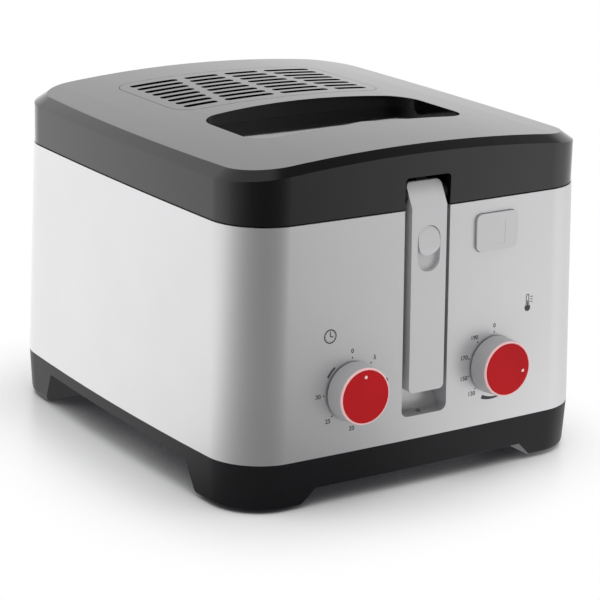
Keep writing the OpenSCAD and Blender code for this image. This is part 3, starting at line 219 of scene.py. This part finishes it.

# The table top's shading is painted. An occlusion reading darkens its colour and its glow to a
# painted contact shadow under and around the fryer. At a set distance out from the fryer's
# footprint, reached sooner on the lit side to the right, it turns to plain white, so the painted
# shadow and the lamps' shadows both end there.
floor_finish, tree = start_material("table_top")
place = tree.node("ShaderNodeTexCoord", output="Object")
out_x = (place.part("X").maths("ABSOLUTE") - CORE_X).maths("MAXIMUM", 0.0)
out_y = (place.part("Y").maths("ABSOLUTE") - CORE_Y).maths("MAXIMUM", 0.0)
away = (out_x * out_x + out_y * out_y).maths("SQRT")
past = away + towards(bearing(place), *LIT_SIDE) * LIT_GAIN
gloss_ray = tree.node("ShaderNodeLightPath", output="Is Glossy Ray")
open_sky = tree.node("ShaderNodeAmbientOcclusion", {"samples": 8}, {"Distance": NEAR_REACH}, "AO")
clear_of_painted_shadow = open_sky.between(*NEAR_RANGE)
sheen = tree.node("ShaderNodeBsdfPrincipled", None, {
    "Base Color": clear_of_painted_shadow.blend(PAINTED_FLOOR_SHADOW, FLOOR_COLOUR), "Roughness": 0.3, "IOR": 1.35,
    "Emission Color": clear_of_painted_shadow.blend(PAINTED_GLOW_SHADOW, WHITE), "Emission Strength": FLOOR_GLOW})
white = tree.node("ShaderNodeEmission", None, {"Color": WHITE, "Strength": 1.0})
seen_floor = tree.node("ShaderNodeMixShader", None, {
    0: past.between(*FADE_RANGE), 1: sheen, 2: white})
gloss_floor = tree.node("ShaderNodeEmission", None, {
    "Color": WHITE, "Strength": sheets(bearing(place, GAP_START)) * FLOOR_IN_GLOSS})
end_material(tree, tree.node("ShaderNodeMixShader", None, {
    0: gloss_ray, 1: seen_floor, 2: gloss_floor}))

mesh = bpy.data.meshes.new("table_top")
mesh.from_pydata([(-FLOOR_HALF, -FLOOR_HALF, 0), (FLOOR_HALF, -FLOOR_HALF, 0),
                  (FLOOR_HALF, FLOOR_HALF, 0), (-FLOOR_HALF, FLOOR_HALF, 0)], [], [(0, 1, 2, 3)])
mesh.materials.append(floor_finish)
table_top = link("table_top", mesh)

AMBIENT = 0.45
HIGH_RANGE = (0.4, 0.95)
HIGH_LOSS = 0.5
FRONT_SIDE = (5, -0.3, 0.6)
FRONT_RANGE = (0.45, 0.7)
FRONT_LOSS = 0.95
BACK_SIDE = (150, 0.1, 0.9)
BACK_RANGE = (0.36, 0.62)
BACK_GAIN = 0.2

world = bpy.data.worlds.new("backdrop")
world.use_nodes = True
world.node_tree.nodes.clear()
scene.world = world
tree = Value(world.node_tree)
camera_ray, through_ray, gloss_ray = (
    tree.node("ShaderNodeLightPath", output=output)
    for output in ("Is Camera Ray", "Is Transmission Ray", "Is Glossy Ray"))
place = tree.node("ShaderNodeTexCoord", output="Generated")
height = place.part("Z")
level = bearing(place)
behind = towards(level, *BACK_SIDE) * (1 - height.between(*BACK_RANGE))
in_front = towards(level, *FRONT_SIDE) * height.between(*FRONT_RANGE) * FRONT_LOSS
in_gloss = (sheets(level) * (1 - height.between(*HIGH_RANGE) * HIGH_LOSS) * (1 - in_front)
            + behind * BACK_GAIN)
shown = (camera_ray + through_ray).clamp()
plain = gloss_ray * in_gloss + (1 - gloss_ray) * AMBIENT
tree.node("ShaderNodeOutputWorld", None, {"Surface": tree.node("ShaderNodeBackground", None, {
    "Color": WHITE, "Strength": plain * (1 - shown) + shown})})

LAMP_AIM = Vector((0, 0, 0.12))


def soft_box(name, azimuth, elevation, distance, width, height, radiance):
    """A soft box that faces the fryer and shows neither to the camera nor in its gloss."""
    lamp = bpy.data.lights.new(name, "AREA")
    lamp.shape = "RECTANGLE"
    lamp.size = width
    lamp.size_y = height
    lamp.energy = radiance * math.pi * width * height
    tilt = math.radians(elevation)
    away = Vector(compass(azimuth)) * math.cos(tilt) + Vector((0, 0, math.sin(tilt)))
    box = link(name, lamp)
    box.matrix_world = (Matrix.Translation(LAMP_AIM + away * distance)
                        @ away.to_track_quat("Z", "Y").to_matrix().to_4x4())
    box.visible_camera = False
    box.visible_glossy = False


soft_box("box_above", azimuth=0, elevation=80, distance=1.5, width=1.5, height=1.5,
         radiance=1.8)
soft_box("box_left", azimuth=-125, elevation=25, distance=1.7, width=1.2, height=1.0,
         radiance=1.5)
soft_box("box_right", azimuth=55, elevation=25, distance=1.8, width=1.0, height=1.0,
         radiance=0.9)

scene.view_settings.view_transform = "Standard"

# ---- Housing ----
# The body of the fryer is one injection moulding in pearl silver plastic. It has a channel
# for the handle, holes for the knobs and the button, and hinge ears behind.

HOUSING_EDGE = 0.0006
DRIFT_SCALE = 14.0
NOISE_RANGE = (0.3, 0.7)
SAME_PLACE = 0.000002
FLAT_WITHIN = math.radians(0.03)


def textured(name, base, rough, grain=0.0, grain_scale=900.0, cloud=0.03, metallic=0.0,
             rough_spread=0.05, sockets=None):
    """A finish with a slight drift in its colour and a fine grain; its roughness follows both."""
    material, tree = start_material(name)
    place = tree.node("ShaderNodeTexCoord", output="Object")
    drift = tree.node("ShaderNodeTexNoise", None, {
        "Vector": place, "Scale": DRIFT_SCALE, "Detail": 3.0, "Roughness": 0.55})
    grit = tree.node("ShaderNodeTexNoise", None, {
        "Vector": place, "Scale": grain_scale, "Detail": 2.0, "Roughness": 0.6})
    light = tuple(min(1, c * (1 + cloud)) for c in base)
    dark = tuple(c * (1 - cloud) for c in base)
    shader = {"Base Color": drift.between(*NOISE_RANGE).blend(colour(*dark), colour(*light)),
              "Roughness": (drift - 0.5) * rough_spread + (grit - 0.5) * rough_spread + rough,
              "Metallic": metallic, **(sockets or {})}
    if grain:
        shader["Normal"] = tree.node("ShaderNodeBump", None, {
            "Strength": 1.0, "Distance": grain, "Height": grit})
    end_material(tree, tree.node("ShaderNodeBsdfPrincipled", None, shader))
    return material


def softened(node, name, radius, sharp=28.0):
    """The closed shape of a CAD node, with its sharp edges rounded as a mould leaves them."""
    shape = bmesh.new()
    shape.from_mesh(frame["nodes"][node].data)
    bmesh.ops.remove_doubles(shape, verts=shape.verts, dist=SAME_PLACE)
    bmesh.ops.dissolve_limit(shape, angle_limit=FLAT_WITHIN, verts=shape.verts,
                             edges=shape.edges)
    shape.verts.index_update()
    mesh = bpy.data.meshes.new(name)
    mesh.from_pydata([corner.co[:] for corner in shape.verts], [],
                     [[corner.index for corner in side.verts] for side in shape.faces])
    shape.free()
    mesh.shade_smooth()
    mesh.set_sharp_from_angle(angle=math.radians(sharp))
    piece = link(name, mesh)
    edge = piece.modifiers.new("edge", "BEVEL")
    edge.width = radius
    edge.segments = 2
    edge.limit_method = "ANGLE"
    edge.angle_limit = math.radians(sharp)
    edge.use_clamp_overlap = True
    edge.miter_outer = "MITER_ARC"
    evened = piece.modifiers.new("evened", "WEIGHTED_NORMAL")
    evened.keep_sharp = True
    return piece


def fit(piece, material, body, slot, *nodes):
    """Gives a finished piece its material, the body it rides on and the nodes it stands for."""
    piece.data.materials.clear()
    piece.data.materials.append(material)
    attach(piece, body)
    if nodes:
        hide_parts(*nodes)


pearl = textured("pearl_silver", (0.74, 0.74, 0.75), 0.36, grain=0.000004, grain_scale=2600,
                 cloud=0.015, metallic=0.75, sockets={"Coat Weight": 0.25, "Coat Roughness": 0.18})
fit(softened("housing", "body_housing", HOUSING_EDGE), pearl, "root", "pearl_plastic", "housing")

# ---- Base ----
# The black base is a moulding with a fine spark grain, pushed up into the foot of the housing
# and held by four screws. A soft rubber pad sits in the sole of each of its four feet.

BASE_EDGE = 0.0007

grained_black = textured("grained_black", (0.011, 0.011, 0.013), 0.42, grain=0.00002,
                         grain_scale=1500, cloud=0.1, sockets={"IOR": 1.3})
fit(softened("base", "base_moulding", BASE_EDGE), grained_black, "root", "satin_black", "base")


def repaint(material, *nodes):
    """Gives CAD nodes whose shape is right their real finish."""
    for node in nodes:
        piece = frame["nodes"][node]
        piece.data.materials.clear()
        piece.data.materials.append(material)


rubber = textured("rubber", (0.028, 0.028, 0.028), 0.75, grain=0.00003, grain_scale=1800,
                  cloud=0.15)
repaint(rubber, "foot_pads")

# ---- Screws, pins, shafts and springs ----
# The small steel parts are turned or wound from wire and plated with bright zinc. The screws
# bite into bosses in the mouldings, and the pins and shafts are pressed into their seats.

zinc = textured("zinc_steel", (0.62, 0.62, 0.63), 0.28, grain=0.000004, grain_scale=2200,
                cloud=0.05, metallic=1.0)
repaint(zinc, "base_screws", "liner_screws", "hinge_pins", "lid_springs", "button_spring",
        "thumb_spring", "handle_shaft", "lever_shaft", "crank_pin", "time_shaft", "temp_shaft")

# ---- Heater ----
# A tubular element is clamped under a cast aluminium plate that heats the bowl from below.
# Four posts hold the plate inside a bright steel shield, and a ceramic fuse guards it.

steel = textured("sheet_steel", (0.60, 0.60, 0.61), 0.3, cloud=0.05, metallic=1.0)
aluminium = textured("cast_aluminium", (0.70, 0.70, 0.70), 0.4, grain=0.00002, cloud=0.05,
                     metallic=1.0)
sheath = textured("element_sheath", (0.25, 0.24, 0.24), 0.4, cloud=0.2, metallic=1.0)
ceramic = textured("ceramic", (0.80, 0.78, 0.72), 0.4, cloud=0.03)
repaint(steel, "heat_shield")
repaint(aluminium, "heater_plate")
repaint(sheath, "heating_element", "heater_posts")
repaint(ceramic, "thermal_fuse")

# ---- Bowl and deck ring ----
# The oil bowl is deep drawn from sheet and has a dark non-stick coating. Its rim lies on a
# black moulded ring that closes the top of the housing.

non_stick = textured("non_stick", (0.05, 0.05, 0.055), 0.45, grain=0.00001, cloud=0.2)
repaint(non_stick, "bowl")
repaint(grained_black, "deck_ring")

# ---- Timer and thermostat ----
# They sit behind the front: a clockwork timer in a steel case, and a thermostat on a resin
# block, with a copper bulb on a thin tube that feels the heat of the bowl.

resin = textured("resin", (0.45, 0.33, 0.20), 0.5, grain=0.00001, cloud=0.1)
copper = textured("copper", (0.72, 0.40, 0.28), 0.3, cloud=0.1, metallic=1.0)
repaint(steel, "timer")
repaint(resin, "thermostat")
repaint(copper, "thermostat_bulb")

# ---- Mains parts ----
# The gland in the back wall is a black moulding, locked by a nut inside. Insulated wires run
# from a ceramic block of terminals on the base to the controls and the element.

wire_cover = textured("wire_cover", (0.25, 0.12, 0.06), 0.5, cloud=0.1)
repaint(grained_black, "cord_gland", "gland_nut")
repaint(ceramic, "terminal_block")
repaint(wire_cover, "wiring")

# ---- Basket lift ----
# Black moulded parts under the front of the lid: a bracket on the deck ring, and the gear of
# the handle that turns a toothed lever, whose pin lifts the basket.

repaint(grained_black, "lift_bracket", "handle_gear", "lift_lever")

# ---- Handle and thumb slide ----
# The handle folds down into the channel on its shaft. It is a satin grey moulding, with a
# thumb slide of the same grey that runs in a hollow in its face against a small spring.

HANDLE_EDGE = 0.0006
SLIDE_EDGE = 0.0005

grey_satin = textured("grey_satin", (0.66, 0.66, 0.67), 0.38, grain=0.000004, grain_scale=2600,
                      cloud=0.015, metallic=0.35,
                      sockets={"Coat Weight": 0.15, "Coat Roughness": 0.2})
fit(softened("handle_grip", "handle_moulding", HANDLE_EDGE), grey_satin, "handle",
    "grey_plastic", "handle_grip")
fit(softened("thumb_slide", "thumb_moulding", SLIDE_EDGE), grey_satin, "thumb_slide",
    "grey_plastic", "thumb_slide")

# ---- Release button and latch ----
# The button is a satin grey moulding that pushes a black slide behind the front wall. The
# slide lets go of the black catch under the lid.

BUTTON_EDGE = 0.0008

fit(softened("release_button", "button_moulding", BUTTON_EDGE), grey_satin, "button",
    "grey_plastic", "release_button")
repaint(grained_black, "latch_slide", "lid_catch")

# ---- Knobs ----
# Each knob is a grey cup pushed on its shaft. A rim is pressed on the cup, and a red cap
# is pressed into the rim. All three are mouldings. The rim's pale pink is a painted highlight,
# the shine along the edge of the red cap.

CUP_EDGE = 0.0005
RIM_EDGE = 0.0003
CAP_EDGE = 0.0004
KNOB_SHARP = 40

knob_grey = textured("knob_grey", (0.46, 0.46, 0.47), 0.4, grain=0.000004, grain_scale=2200,
                     cloud=0.015)
# Painted highlight: the rim's pale pink stands for the shine along the red cap's edge.
rim_painted_highlight = textured("knob_rim_painted_highlight", (0.98, 0.62, 0.62), 0.3, cloud=0.02)
knob_red = textured("knob_red", (0.50, 0.005, 0.009), 0.35, grain=0.000004, grain_scale=1800,
                    cloud=0.06, sockets={"Specular IOR Level": 0.15})
for knob in ("time_knob", "temp_knob"):
    for node, name, radius, finish, slot in (
            (knob, knob + "_cup", CUP_EDGE, knob_grey, "knob_grey"),
            (knob + "_rim", knob + "_ring", RIM_EDGE, rim_painted_highlight, "knob_rim"),
            (knob + "_cap", knob + "_disc", CAP_EDGE, knob_red, "knob_red")):
        fit(softened(node, name, radius, KNOB_SHARP), finish, knob, slot, node)

# ---- Pointers ----
# A drop of pale paint fills the dimple near the edge of each cap, so that the setting can be
# read. It dries with a slight crown.

DIMPLE_OUT = 0.0131
DIMPLE_R = 0.00125
PAINT_SUNK = 0.00016
PAINT_DEEP = 0.0004
PAINT_CROWN = 0.0003
TIME_SET = 0
TEMP_SET = 102

pointer_paint = textured("pointer_paint", (0.98, 0.66, 0.64), 0.35, grain=0.00001,
                         grain_scale=900, cloud=0.04)


def turned_mesh(name, profile, steps=40):
    """A closed body turned about Z from points of radius and height, its ends on the axis."""
    shape = bmesh.new()
    rings = []
    for radius, height in profile:
        if radius == 0:
            rings.append([shape.verts.new((0, 0, height))])
        else:
            rings.append([shape.verts.new((radius * math.cos(math.tau * k / steps),
                                           radius * math.sin(math.tau * k / steps), height))
                          for k in range(steps)])
    for low, high in zip(rings, rings[1:]):
        for k in range(steps):
            corners = [low[k % len(low)], low[(k + 1) % len(low)],
                       high[(k + 1) % len(high)], high[k % len(high)]]
            shape.faces.new(list(dict.fromkeys(corners)))
    bmesh.ops.recalc_face_normals(shape, faces=shape.faces)
    mesh = bpy.data.meshes.new(name)
    shape.to_mesh(mesh)
    shape.free()
    mesh.shade_smooth()
    return mesh


def knob_axis(knob):
    """A place on a knob's axis and the way out of the front along it."""
    turn = next(joint for joint in frame["joints"] if joint["name"] == knob.replace("knob", "turn"))
    place, out = Vector(turn["pos_m"]), Vector(turn["axis"]).normalized()
    return place, out if out.y < 0 else -out


def knob_face(knob):
    """Middle of a knob's face, the way it faces and the way up on it."""
    place, out = knob_axis(knob)
    face = max(corner.co.dot(out) for corner in frame["nodes"][knob + "_cap"].data.vertices)
    upright = (Vector((0, 0, 1)) - out * out.z).normalized()
    return place + out * (face - place.dot(out)), out, upright


def on_clock(angle, radius):
    """Right and up parts of a place on a dial, its angle counted in degrees from twelve o'clock."""
    return radius * math.sin(math.radians(angle)), radius * math.cos(math.radians(angle))


for knob, angle in (("time_knob", TIME_SET), ("temp_knob", TEMP_SET)):
    middle, out, upright = knob_face(knob)
    right, up = on_clock(angle, DIMPLE_OUT)
    place = middle - out * PAINT_SUNK + Vector((right, 0, 0)) + upright * up
    facing = out.to_track_quat("Z", "Y").to_matrix().to_4x4()
    drop = turned_mesh(knob + "_pointer", [
        (0, -PAINT_DEEP), (DIMPLE_R, -PAINT_DEEP), (DIMPLE_R, 0),
        (DIMPLE_R * 0.8, PAINT_CROWN * 0.6), (DIMPLE_R * 0.4, PAINT_CROWN * 0.9),
        (0, PAINT_CROWN)])
    drop.transform(Matrix.Translation(place) @ facing)
    fit(link(knob + "_pointer", drop), pointer_paint, knob, "knob_rim")

# ---- Printed scales ----
# Scales around the knobs and a sign above each are pad printed in dark grey on the housing,
# so every mark is a thin film of ink that follows the bowed front.

INK = 0.00006
INK_BURIED = 0.000006
PRINT_START_Y = -0.3
SCALE_R = 0.0218
MARK_LONG = 0.0012
MARK_WIDE = 0.0008
NUMBER_R = 0.0262
NUMBER_SIZE = 0.0042
NUMBER_BOLD = 0.00008
TIME_MARKS = [(0, 0), (5, 42), (10, 85), (15, 130), (20, 180), (25, 225), (30, 268)]
TEMP_MARKS = [(0, 0), (190, -40), (170, -74), (150, -106), (130, -136)]
BARE_MARK_AT = 72
END_ARC_FROM = 300
END_ARC_TO = 322
END_ARC_WIDE = 0.0013
WEDGE_R = 0.0243
WEDGE_FROM = 203
WEDGE_TO = 158
WEDGE_WIDE = 0.0028
WEDGE_TIP = 0.0005

housing_shape = frame["nodes"]["housing"].data
front_face = BVHTree.FromPolygons([corner.co for corner in housing_shape.vertices],
                                  [side.vertices for side in housing_shape.polygons])
ink = textured("printing_ink", (0.045, 0.045, 0.048), 0.5, grain=0.000006, grain_scale=1800,
               cloud=0.15)


def arc_band(radius, width, start, end, steps, end_width=None):
    """Corners of a band along an arc, which may taper from its start to its end."""
    outer, inner = [], []
    for k in range(steps + 1):
        angle = start + (end - start) * k / steps
        half = (width + ((width if end_width is None else end_width) - width) * k / steps) / 2
        outer.append(on_clock(angle, radius + half))
        inner.append(on_clock(angle, radius - half))
    return [[outer[k], outer[k + 1], inner[k + 1], inner[k]] for k in range(steps)]


def bar(angle, radius, length, width):
    """A straight stroke that points to the middle of a dial."""
    near, far = (on_clock(angle, radius + sign * length / 2) for sign in (-1, 1))
    side = on_clock(angle + 90, width / 2)
    return [[(near[0] - side[0], near[1] - side[1]), (far[0] - side[0], far[1] - side[1]),
             (far[0] + side[0], far[1] + side[1]), (near[0] + side[0], near[1] + side[1])]]


def block(left, bottom, right, top):
    """An upright block of ink."""
    return [[(left, bottom), (right, bottom), (right, top), (left, top)]]


def lifted(flats, up):
    return [[(x, z + up) for x, z in flat] for flat in flats]


def solved(holder):
    """The plain mesh of an object once its text or modifiers are worked out; the object goes."""
    solid = holder.evaluated_get(bpy.context.evaluated_depsgraph_get())
    mesh = bpy.data.meshes.new_from_object(solid)
    bpy.data.objects.remove(holder)
    return mesh


def number(value, right, up):
    """Flat faces of a plain number, centred on a place."""
    drawn = bpy.data.curves.new("number", "FONT")
    drawn.body = str(value)
    drawn.size = NUMBER_SIZE
    drawn.align_x = "CENTER"
    drawn.align_y = "CENTER"
    drawn.resolution_u = 3
    drawn.offset = NUMBER_BOLD
    flat = solved(link("number", drawn))
    flats = [[(flat.vertices[v].co.x + right, flat.vertices[v].co.y + up) for v in side.vertices]
             for side in flat.polygons]
    bpy.data.meshes.remove(flat)
    return flats


def printed(name, flats, right, up):
    """Presses flat shapes onto the front of the housing about a place, as a thin film of ink."""
    shape = bmesh.new()
    for flat in flats:
        corners = []
        for x, z in flat:
            start = Vector((right + x, PRINT_START_Y, up + z))
            surface = front_face.ray_cast(start, Vector((0, 1, 0)))[0]
            corners.append(shape.verts.new((start.x, surface.y - INK, start.z)))
        shape.faces.new(corners)
    bmesh.ops.remove_doubles(shape, verts=shape.verts, dist=1e-6)
    film = bmesh.ops.extrude_face_region(shape, geom=shape.faces[:])["geom"]
    back = [item for item in film if isinstance(item, bmesh.types.BMVert)]
    bmesh.ops.translate(shape, verts=back, vec=(0, INK + INK_BURIED, 0))
    bmesh.ops.recalc_face_normals(shape, faces=shape.faces)
    mesh = bpy.data.meshes.new(name)
    shape.to_mesh(mesh)
    shape.free()
    fit(link(name, mesh), ink, "root", "satin_black")


# The time scale ends in a short arc. The heat scale has a wedge that grows towards 130.
for knob, marks, extra in (
        ("time_knob", TIME_MARKS,
         arc_band(SCALE_R, END_ARC_WIDE, END_ARC_FROM, END_ARC_TO, 6)),
        ("temp_knob", TEMP_MARKS,
         arc_band(WEDGE_R, WEDGE_WIDE, WEDGE_FROM, WEDGE_TO, 18, WEDGE_TIP)
         + bar(BARE_MARK_AT, SCALE_R, MARK_LONG, MARK_WIDE))):
    flats = []
    for value, angle in marks:
        flats += bar(angle, SCALE_R, MARK_LONG, MARK_WIDE)
        flats += number(value, *on_clock(angle, NUMBER_R))
    middle = knob_face(knob)[0]
    printed(knob + "_scale", flats + extra, middle.x, middle.z)

# The signs are a clock face with two hands and twelve ticks, and a thermometer. A hand is
# given by its angle, the radius of its middle and its length.
SIGN_UP = 0.039
CLOCK_ASIDE = -0.0172
CLOCK_R = 0.0044
CLOCK_LINE = 0.0008
LONG_HAND = (0, 0.0014, 0.0034)
SHORT_HAND = (105, 0.0011, 0.0026)
HAND_WIDE = 0.0007
TICKS = 12
TICK_IN = 0.0009
TICK_LONG = 0.0005
TICK_WIDE = 0.0004
HEAT_ASIDE = 0.0282
LINE = 0.0006
STEM_HALF = 0.0014
STEM_FOOT = -0.0022
STEM_TOP = 0.0042
COLUMN_HALF = 0.0004
COLUMN_FOOT = -0.0030
COLUMN_TOP = 0.0010
BULB_UP = -0.0040
BULB_R = 0.0022
BULB_MOUTH = 38
FILL_R = 0.0018
DEGREE = 0.0005
DEGREE_NEAR = 0.0024
DEGREE_FAR = 0.0044
DEGREES_UP = (-0.0004, 0.0014, 0.0032)

clock_sign = (arc_band(CLOCK_R, CLOCK_LINE, 0, 360, 36) + bar(*LONG_HAND, HAND_WIDE)
              + bar(*SHORT_HAND, HAND_WIDE))
for k in range(TICKS):
    clock_sign += bar(k * 360 / TICKS, CLOCK_R - TICK_IN, TICK_LONG, TICK_WIDE)

heat_sign = (block(-STEM_HALF, STEM_FOOT, LINE - STEM_HALF, STEM_TOP)
             + block(STEM_HALF - LINE, STEM_FOOT, STEM_HALF, STEM_TOP)
             + block(-COLUMN_HALF, COLUMN_FOOT, COLUMN_HALF, COLUMN_TOP)
             + lifted(arc_band(STEM_HALF - LINE / 2, LINE, -90, 90, 10), STEM_TOP)
             + lifted(arc_band(FILL_R / 2, FILL_R, 0, 360, 24), BULB_UP)
             + lifted(arc_band(BULB_R, LINE, BULB_MOUTH, 360 - BULB_MOUTH, 24), BULB_UP))
for up in DEGREES_UP:
    heat_sign += block(DEGREE_NEAR, up, DEGREE_FAR, up + DEGREE)

for name, sign, knob, aside in (("clock_sign", clock_sign, "time_knob", CLOCK_ASIDE),
                                ("heat_sign", heat_sign, "temp_knob", HEAT_ASIDE)):
    axis_at = knob_axis(knob)[0]
    printed(name, sign, axis_at.x + aside, axis_at.z + SIGN_UP)

# ---- Lid ----
# The lid is one black moulding with a polished top, hinged on two pins behind. A steel liner
# is screwed under it and holds the rubber gasket that seals against the bowl's rim.

LID_EDGE = 0.0007
LID_SHARP = 18

gloss_black = textured("gloss_black", (0.004, 0.004, 0.0045), 0.10, grain=0.000012,
                       grain_scale=60, cloud=0.1, rough_spread=0.03, sockets={"IOR": 1.6})
fit(softened("lid_shell", "lid_moulding", LID_EDGE, LID_SHARP), gloss_black, "lid",
    "gloss_black", "lid_shell")
repaint(steel, "lid_liner")
repaint(rubber, "lid_gasket")

# ---- Window ----
# A flat pane of smoked glass lies in the lid's opening, so that the frying can be watched.
# It is bedded on a rubber seal, and steam leaves a faint haze on it.

GLASS_CLEAR = colour(0.105, 0.105, 0.115)
GLASS_MISTED = colour(0.095, 0.095, 0.105)
GLASS_ROUGH = 0.02
HAZE_SCALE = 35.0
HAZE_ROUGH = 0.06

glass_finish, tree = start_material("window_glass")
place = tree.node("ShaderNodeTexCoord", output="Object")
haze = tree.node("ShaderNodeTexNoise", None, {
    "Vector": place, "Scale": HAZE_SCALE, "Detail": 3.0})
end_material(tree, tree.node("ShaderNodeBsdfPrincipled", None, {
    "Base Color": haze.between(*NOISE_RANGE).blend(GLASS_CLEAR, GLASS_MISTED),
    "Roughness": haze * HAZE_ROUGH + GLASS_ROUGH,
    "Transmission Weight": 1.0, "IOR": 1.5, "Specular IOR Level": 0.1}))
repaint(glass_finish, "window_glass")
repaint(rubber, "window_seal")

# ---- Filters ----
# A slotted black cover lifts out of a recess in the lid. Under it lie a white fleece for
# grease and a charcoal foam for smell, on a black moulded tray that stays in the lid.

COVER_EDGE = 0.0008
TRAY_EDGE = 0.0002
TRAY_GAP = 0.00005

fit(softened("filter_cover", "filter_cover_moulding", COVER_EDGE), gloss_black, "filter_cover",
    "gloss_black", "filter_cover")
fleece = textured("fleece", (0.75, 0.75, 0.70), 0.9, grain=0.0001, grain_scale=700, cloud=0.05)
repaint(fleece, "grease_filter")
charcoal = textured("charcoal_foam", (0.05, 0.05, 0.05), 0.95, grain=0.0002, grain_scale=500,
                    cloud=0.3)
repaint(charcoal, "charcoal_filter")
# The tray lies a hair below the cover's skirt, so that the cover lifts off freely.
tray = softened("filter_tray", "filter_tray_moulding", TRAY_EDGE)
tray.data.transform(Matrix.Translation((0, 0, -TRAY_GAP)))
fit(tray, grained_black, "lid", "satin_black", "filter_tray")

# ---- Basket ----
# The frying basket is a frame of steel bar with a steel bracket that hangs on the lever's pin.
# Its net is of round wires that pass over and under each other and end on the frame.

WIRE_R = 0.0005
WIRE_PITCH = 0.0072
WIRE_SIDES = 6
WIRE_STEPS = 4

repaint(steel, "basket_frame", "basket_bracket")


def group_inputs(tree, kinds):
    """Named inputs of a geometry tree: each one's identifier, and its value inside the tree."""
    face = tree.interface
    identifiers = {name: face.new_socket(name, in_out="INPUT", socket_type=kind).identifier
                   for name, kind in kinds.items()}
    face.new_socket("Geometry", in_out="OUTPUT", socket_type="NodeSocketGeometry")
    given = tree.nodes.new("NodeGroupInput")
    return identifiers, {name: Value(tree, given.outputs[name]) for name in kinds}


def grown(name, tree, identifiers, values):
    """The plain mesh that a geometry tree makes from the given values."""
    holder = link(name, bpy.data.meshes.new(name))
    modifier = holder.modifiers.new("made", "NODES")
    modifier.node_group = tree
    for key, value in values.items():
        modifier[identifiers[key]] = value
    return solved(holder)


def woven_tree():
    """A flat net from the origin to a width along X and a height along Y."""
    made = bpy.data.node_groups.new("woven_net", "GeometryNodeTree")
    identifiers, given = group_inputs(made, {
        "Width": "NodeSocketFloat", "Height": "NodeSocketFloat", "Wires across": "NodeSocketInt",
        "Wires up": "NodeSocketInt", "Wire": "NodeSocketFloat", "Material": "NodeSocketMaterial"})
    tree = Value(made)
    step_x = given["Width"] / given["Wires across"]
    step_y = given["Height"] / given["Wires up"]
    place = tree.node("GeometryNodeInputPosition")
    wave = ((place.part("X") / step_x * math.pi).maths("COSINE")
            * (place.part("Y") / step_y * math.pi).maths("COSINE") * given["Wire"])
    ring = tree.node("GeometryNodeCurvePrimitiveCircle", None, {
        "Resolution": WIRE_SIDES, "Radius": given["Wire"]})
    both = tree.node("GeometryNodeJoinGeometry")
    for along, across, length, step, count, bends, sign in (
            ("X", "Y", given["Width"], step_y, given["Wires up"], given["Wires across"], 1),
            ("Y", "X", given["Height"], step_x, given["Wires across"], given["Wires up"], -1)):
        starts = tree.node("GeometryNodeMeshLine", None, {
            "Count": count - 1,
            "Start Location": tree.node("ShaderNodeCombineXYZ", None, {across: step}),
            "Offset": tree.node("ShaderNodeCombineXYZ", None, {across: step})})
        wire = tree.node("GeometryNodeCurvePrimitiveLine", None, {
            "End": tree.node("ShaderNodeCombineXYZ", None, {along: length})})
        wire = tree.node("GeometryNodeResampleCurve", None, {
            "Curve": wire, "Count": bends * WIRE_STEPS + 1})
        wires = tree.node("GeometryNodeInstanceOnPoints", None, {
            "Points": starts, "Instance": wire})
        wires = tree.node("GeometryNodeRealizeInstances", None, {"Geometry": wires})
        bend = tree.node("ShaderNodeCombineXYZ", None, {"Z": wave * sign})
        wires = tree.node("GeometryNodeSetPosition", None, {"Geometry": wires, "Offset": bend})
        rods = tree.node("GeometryNodeCurveToMesh", None, {
            "Curve": wires, "Profile Curve": ring, "Fill Caps": True})
        made.links.new(rods.socket, both.socket.node.inputs[0])
    whole = tree.node("GeometryNodeRealizeInstances", None, {"Geometry": both})
    whole = tree.node("GeometryNodeSetMaterial", None, {
        "Geometry": whole, "Material": given["Material"]})
    tree.node("NodeGroupOutput", None, {"Geometry": whole})
    return made, identifiers


net_tree, net_inputs = woven_tree()
bright_wire = textured("bright_wire", (0.60, 0.60, 0.61), 0.26, cloud=0.06, metallic=1.0)


def net(width, height, place):
    """One flat panel of net, turned and moved to its place."""
    mesh = grown("net", net_tree, net_inputs, {
        "Width": width, "Height": height, "Wires across": round(width / WIRE_PITCH),
        "Wires up": round(height / WIRE_PITCH), "Wire": WIRE_R, "Material": bright_wire})
    mesh.transform(place)
    return mesh


def joined(name, meshes):
    """One object with the faces of several meshes."""
    shape = bmesh.new()
    for mesh in meshes:
        shape.from_mesh(mesh)
        bpy.data.meshes.remove(mesh)
    whole = bpy.data.meshes.new(name)
    shape.to_mesh(whole)
    shape.free()
    whole.shade_smooth()
    return link(name, whole)


low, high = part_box("basket_mesh")
size = high - low
inset = 2 * WIRE_R
along_front = Matrix.Rotation(math.radians(90), 4, "X")
along_side = Matrix.Rotation(math.radians(90), 4, "Z") @ along_front
panels = [net(size.x, size.y, Matrix.Translation((low.x, low.y, low.z + inset)))]
panels += [net(size.x, size.z, Matrix.Translation((low.x, y, low.z)) @ along_front)
           for y in (low.y + inset, high.y - inset)]
panels += [net(size.y, size.z, Matrix.Translation((x, low.y, low.z)) @ along_side)
           for x in (low.x + inset, high.x - inset)]
fit(joined("basket_net", panels), bright_wire, "basket", "steel", "basket_mesh")
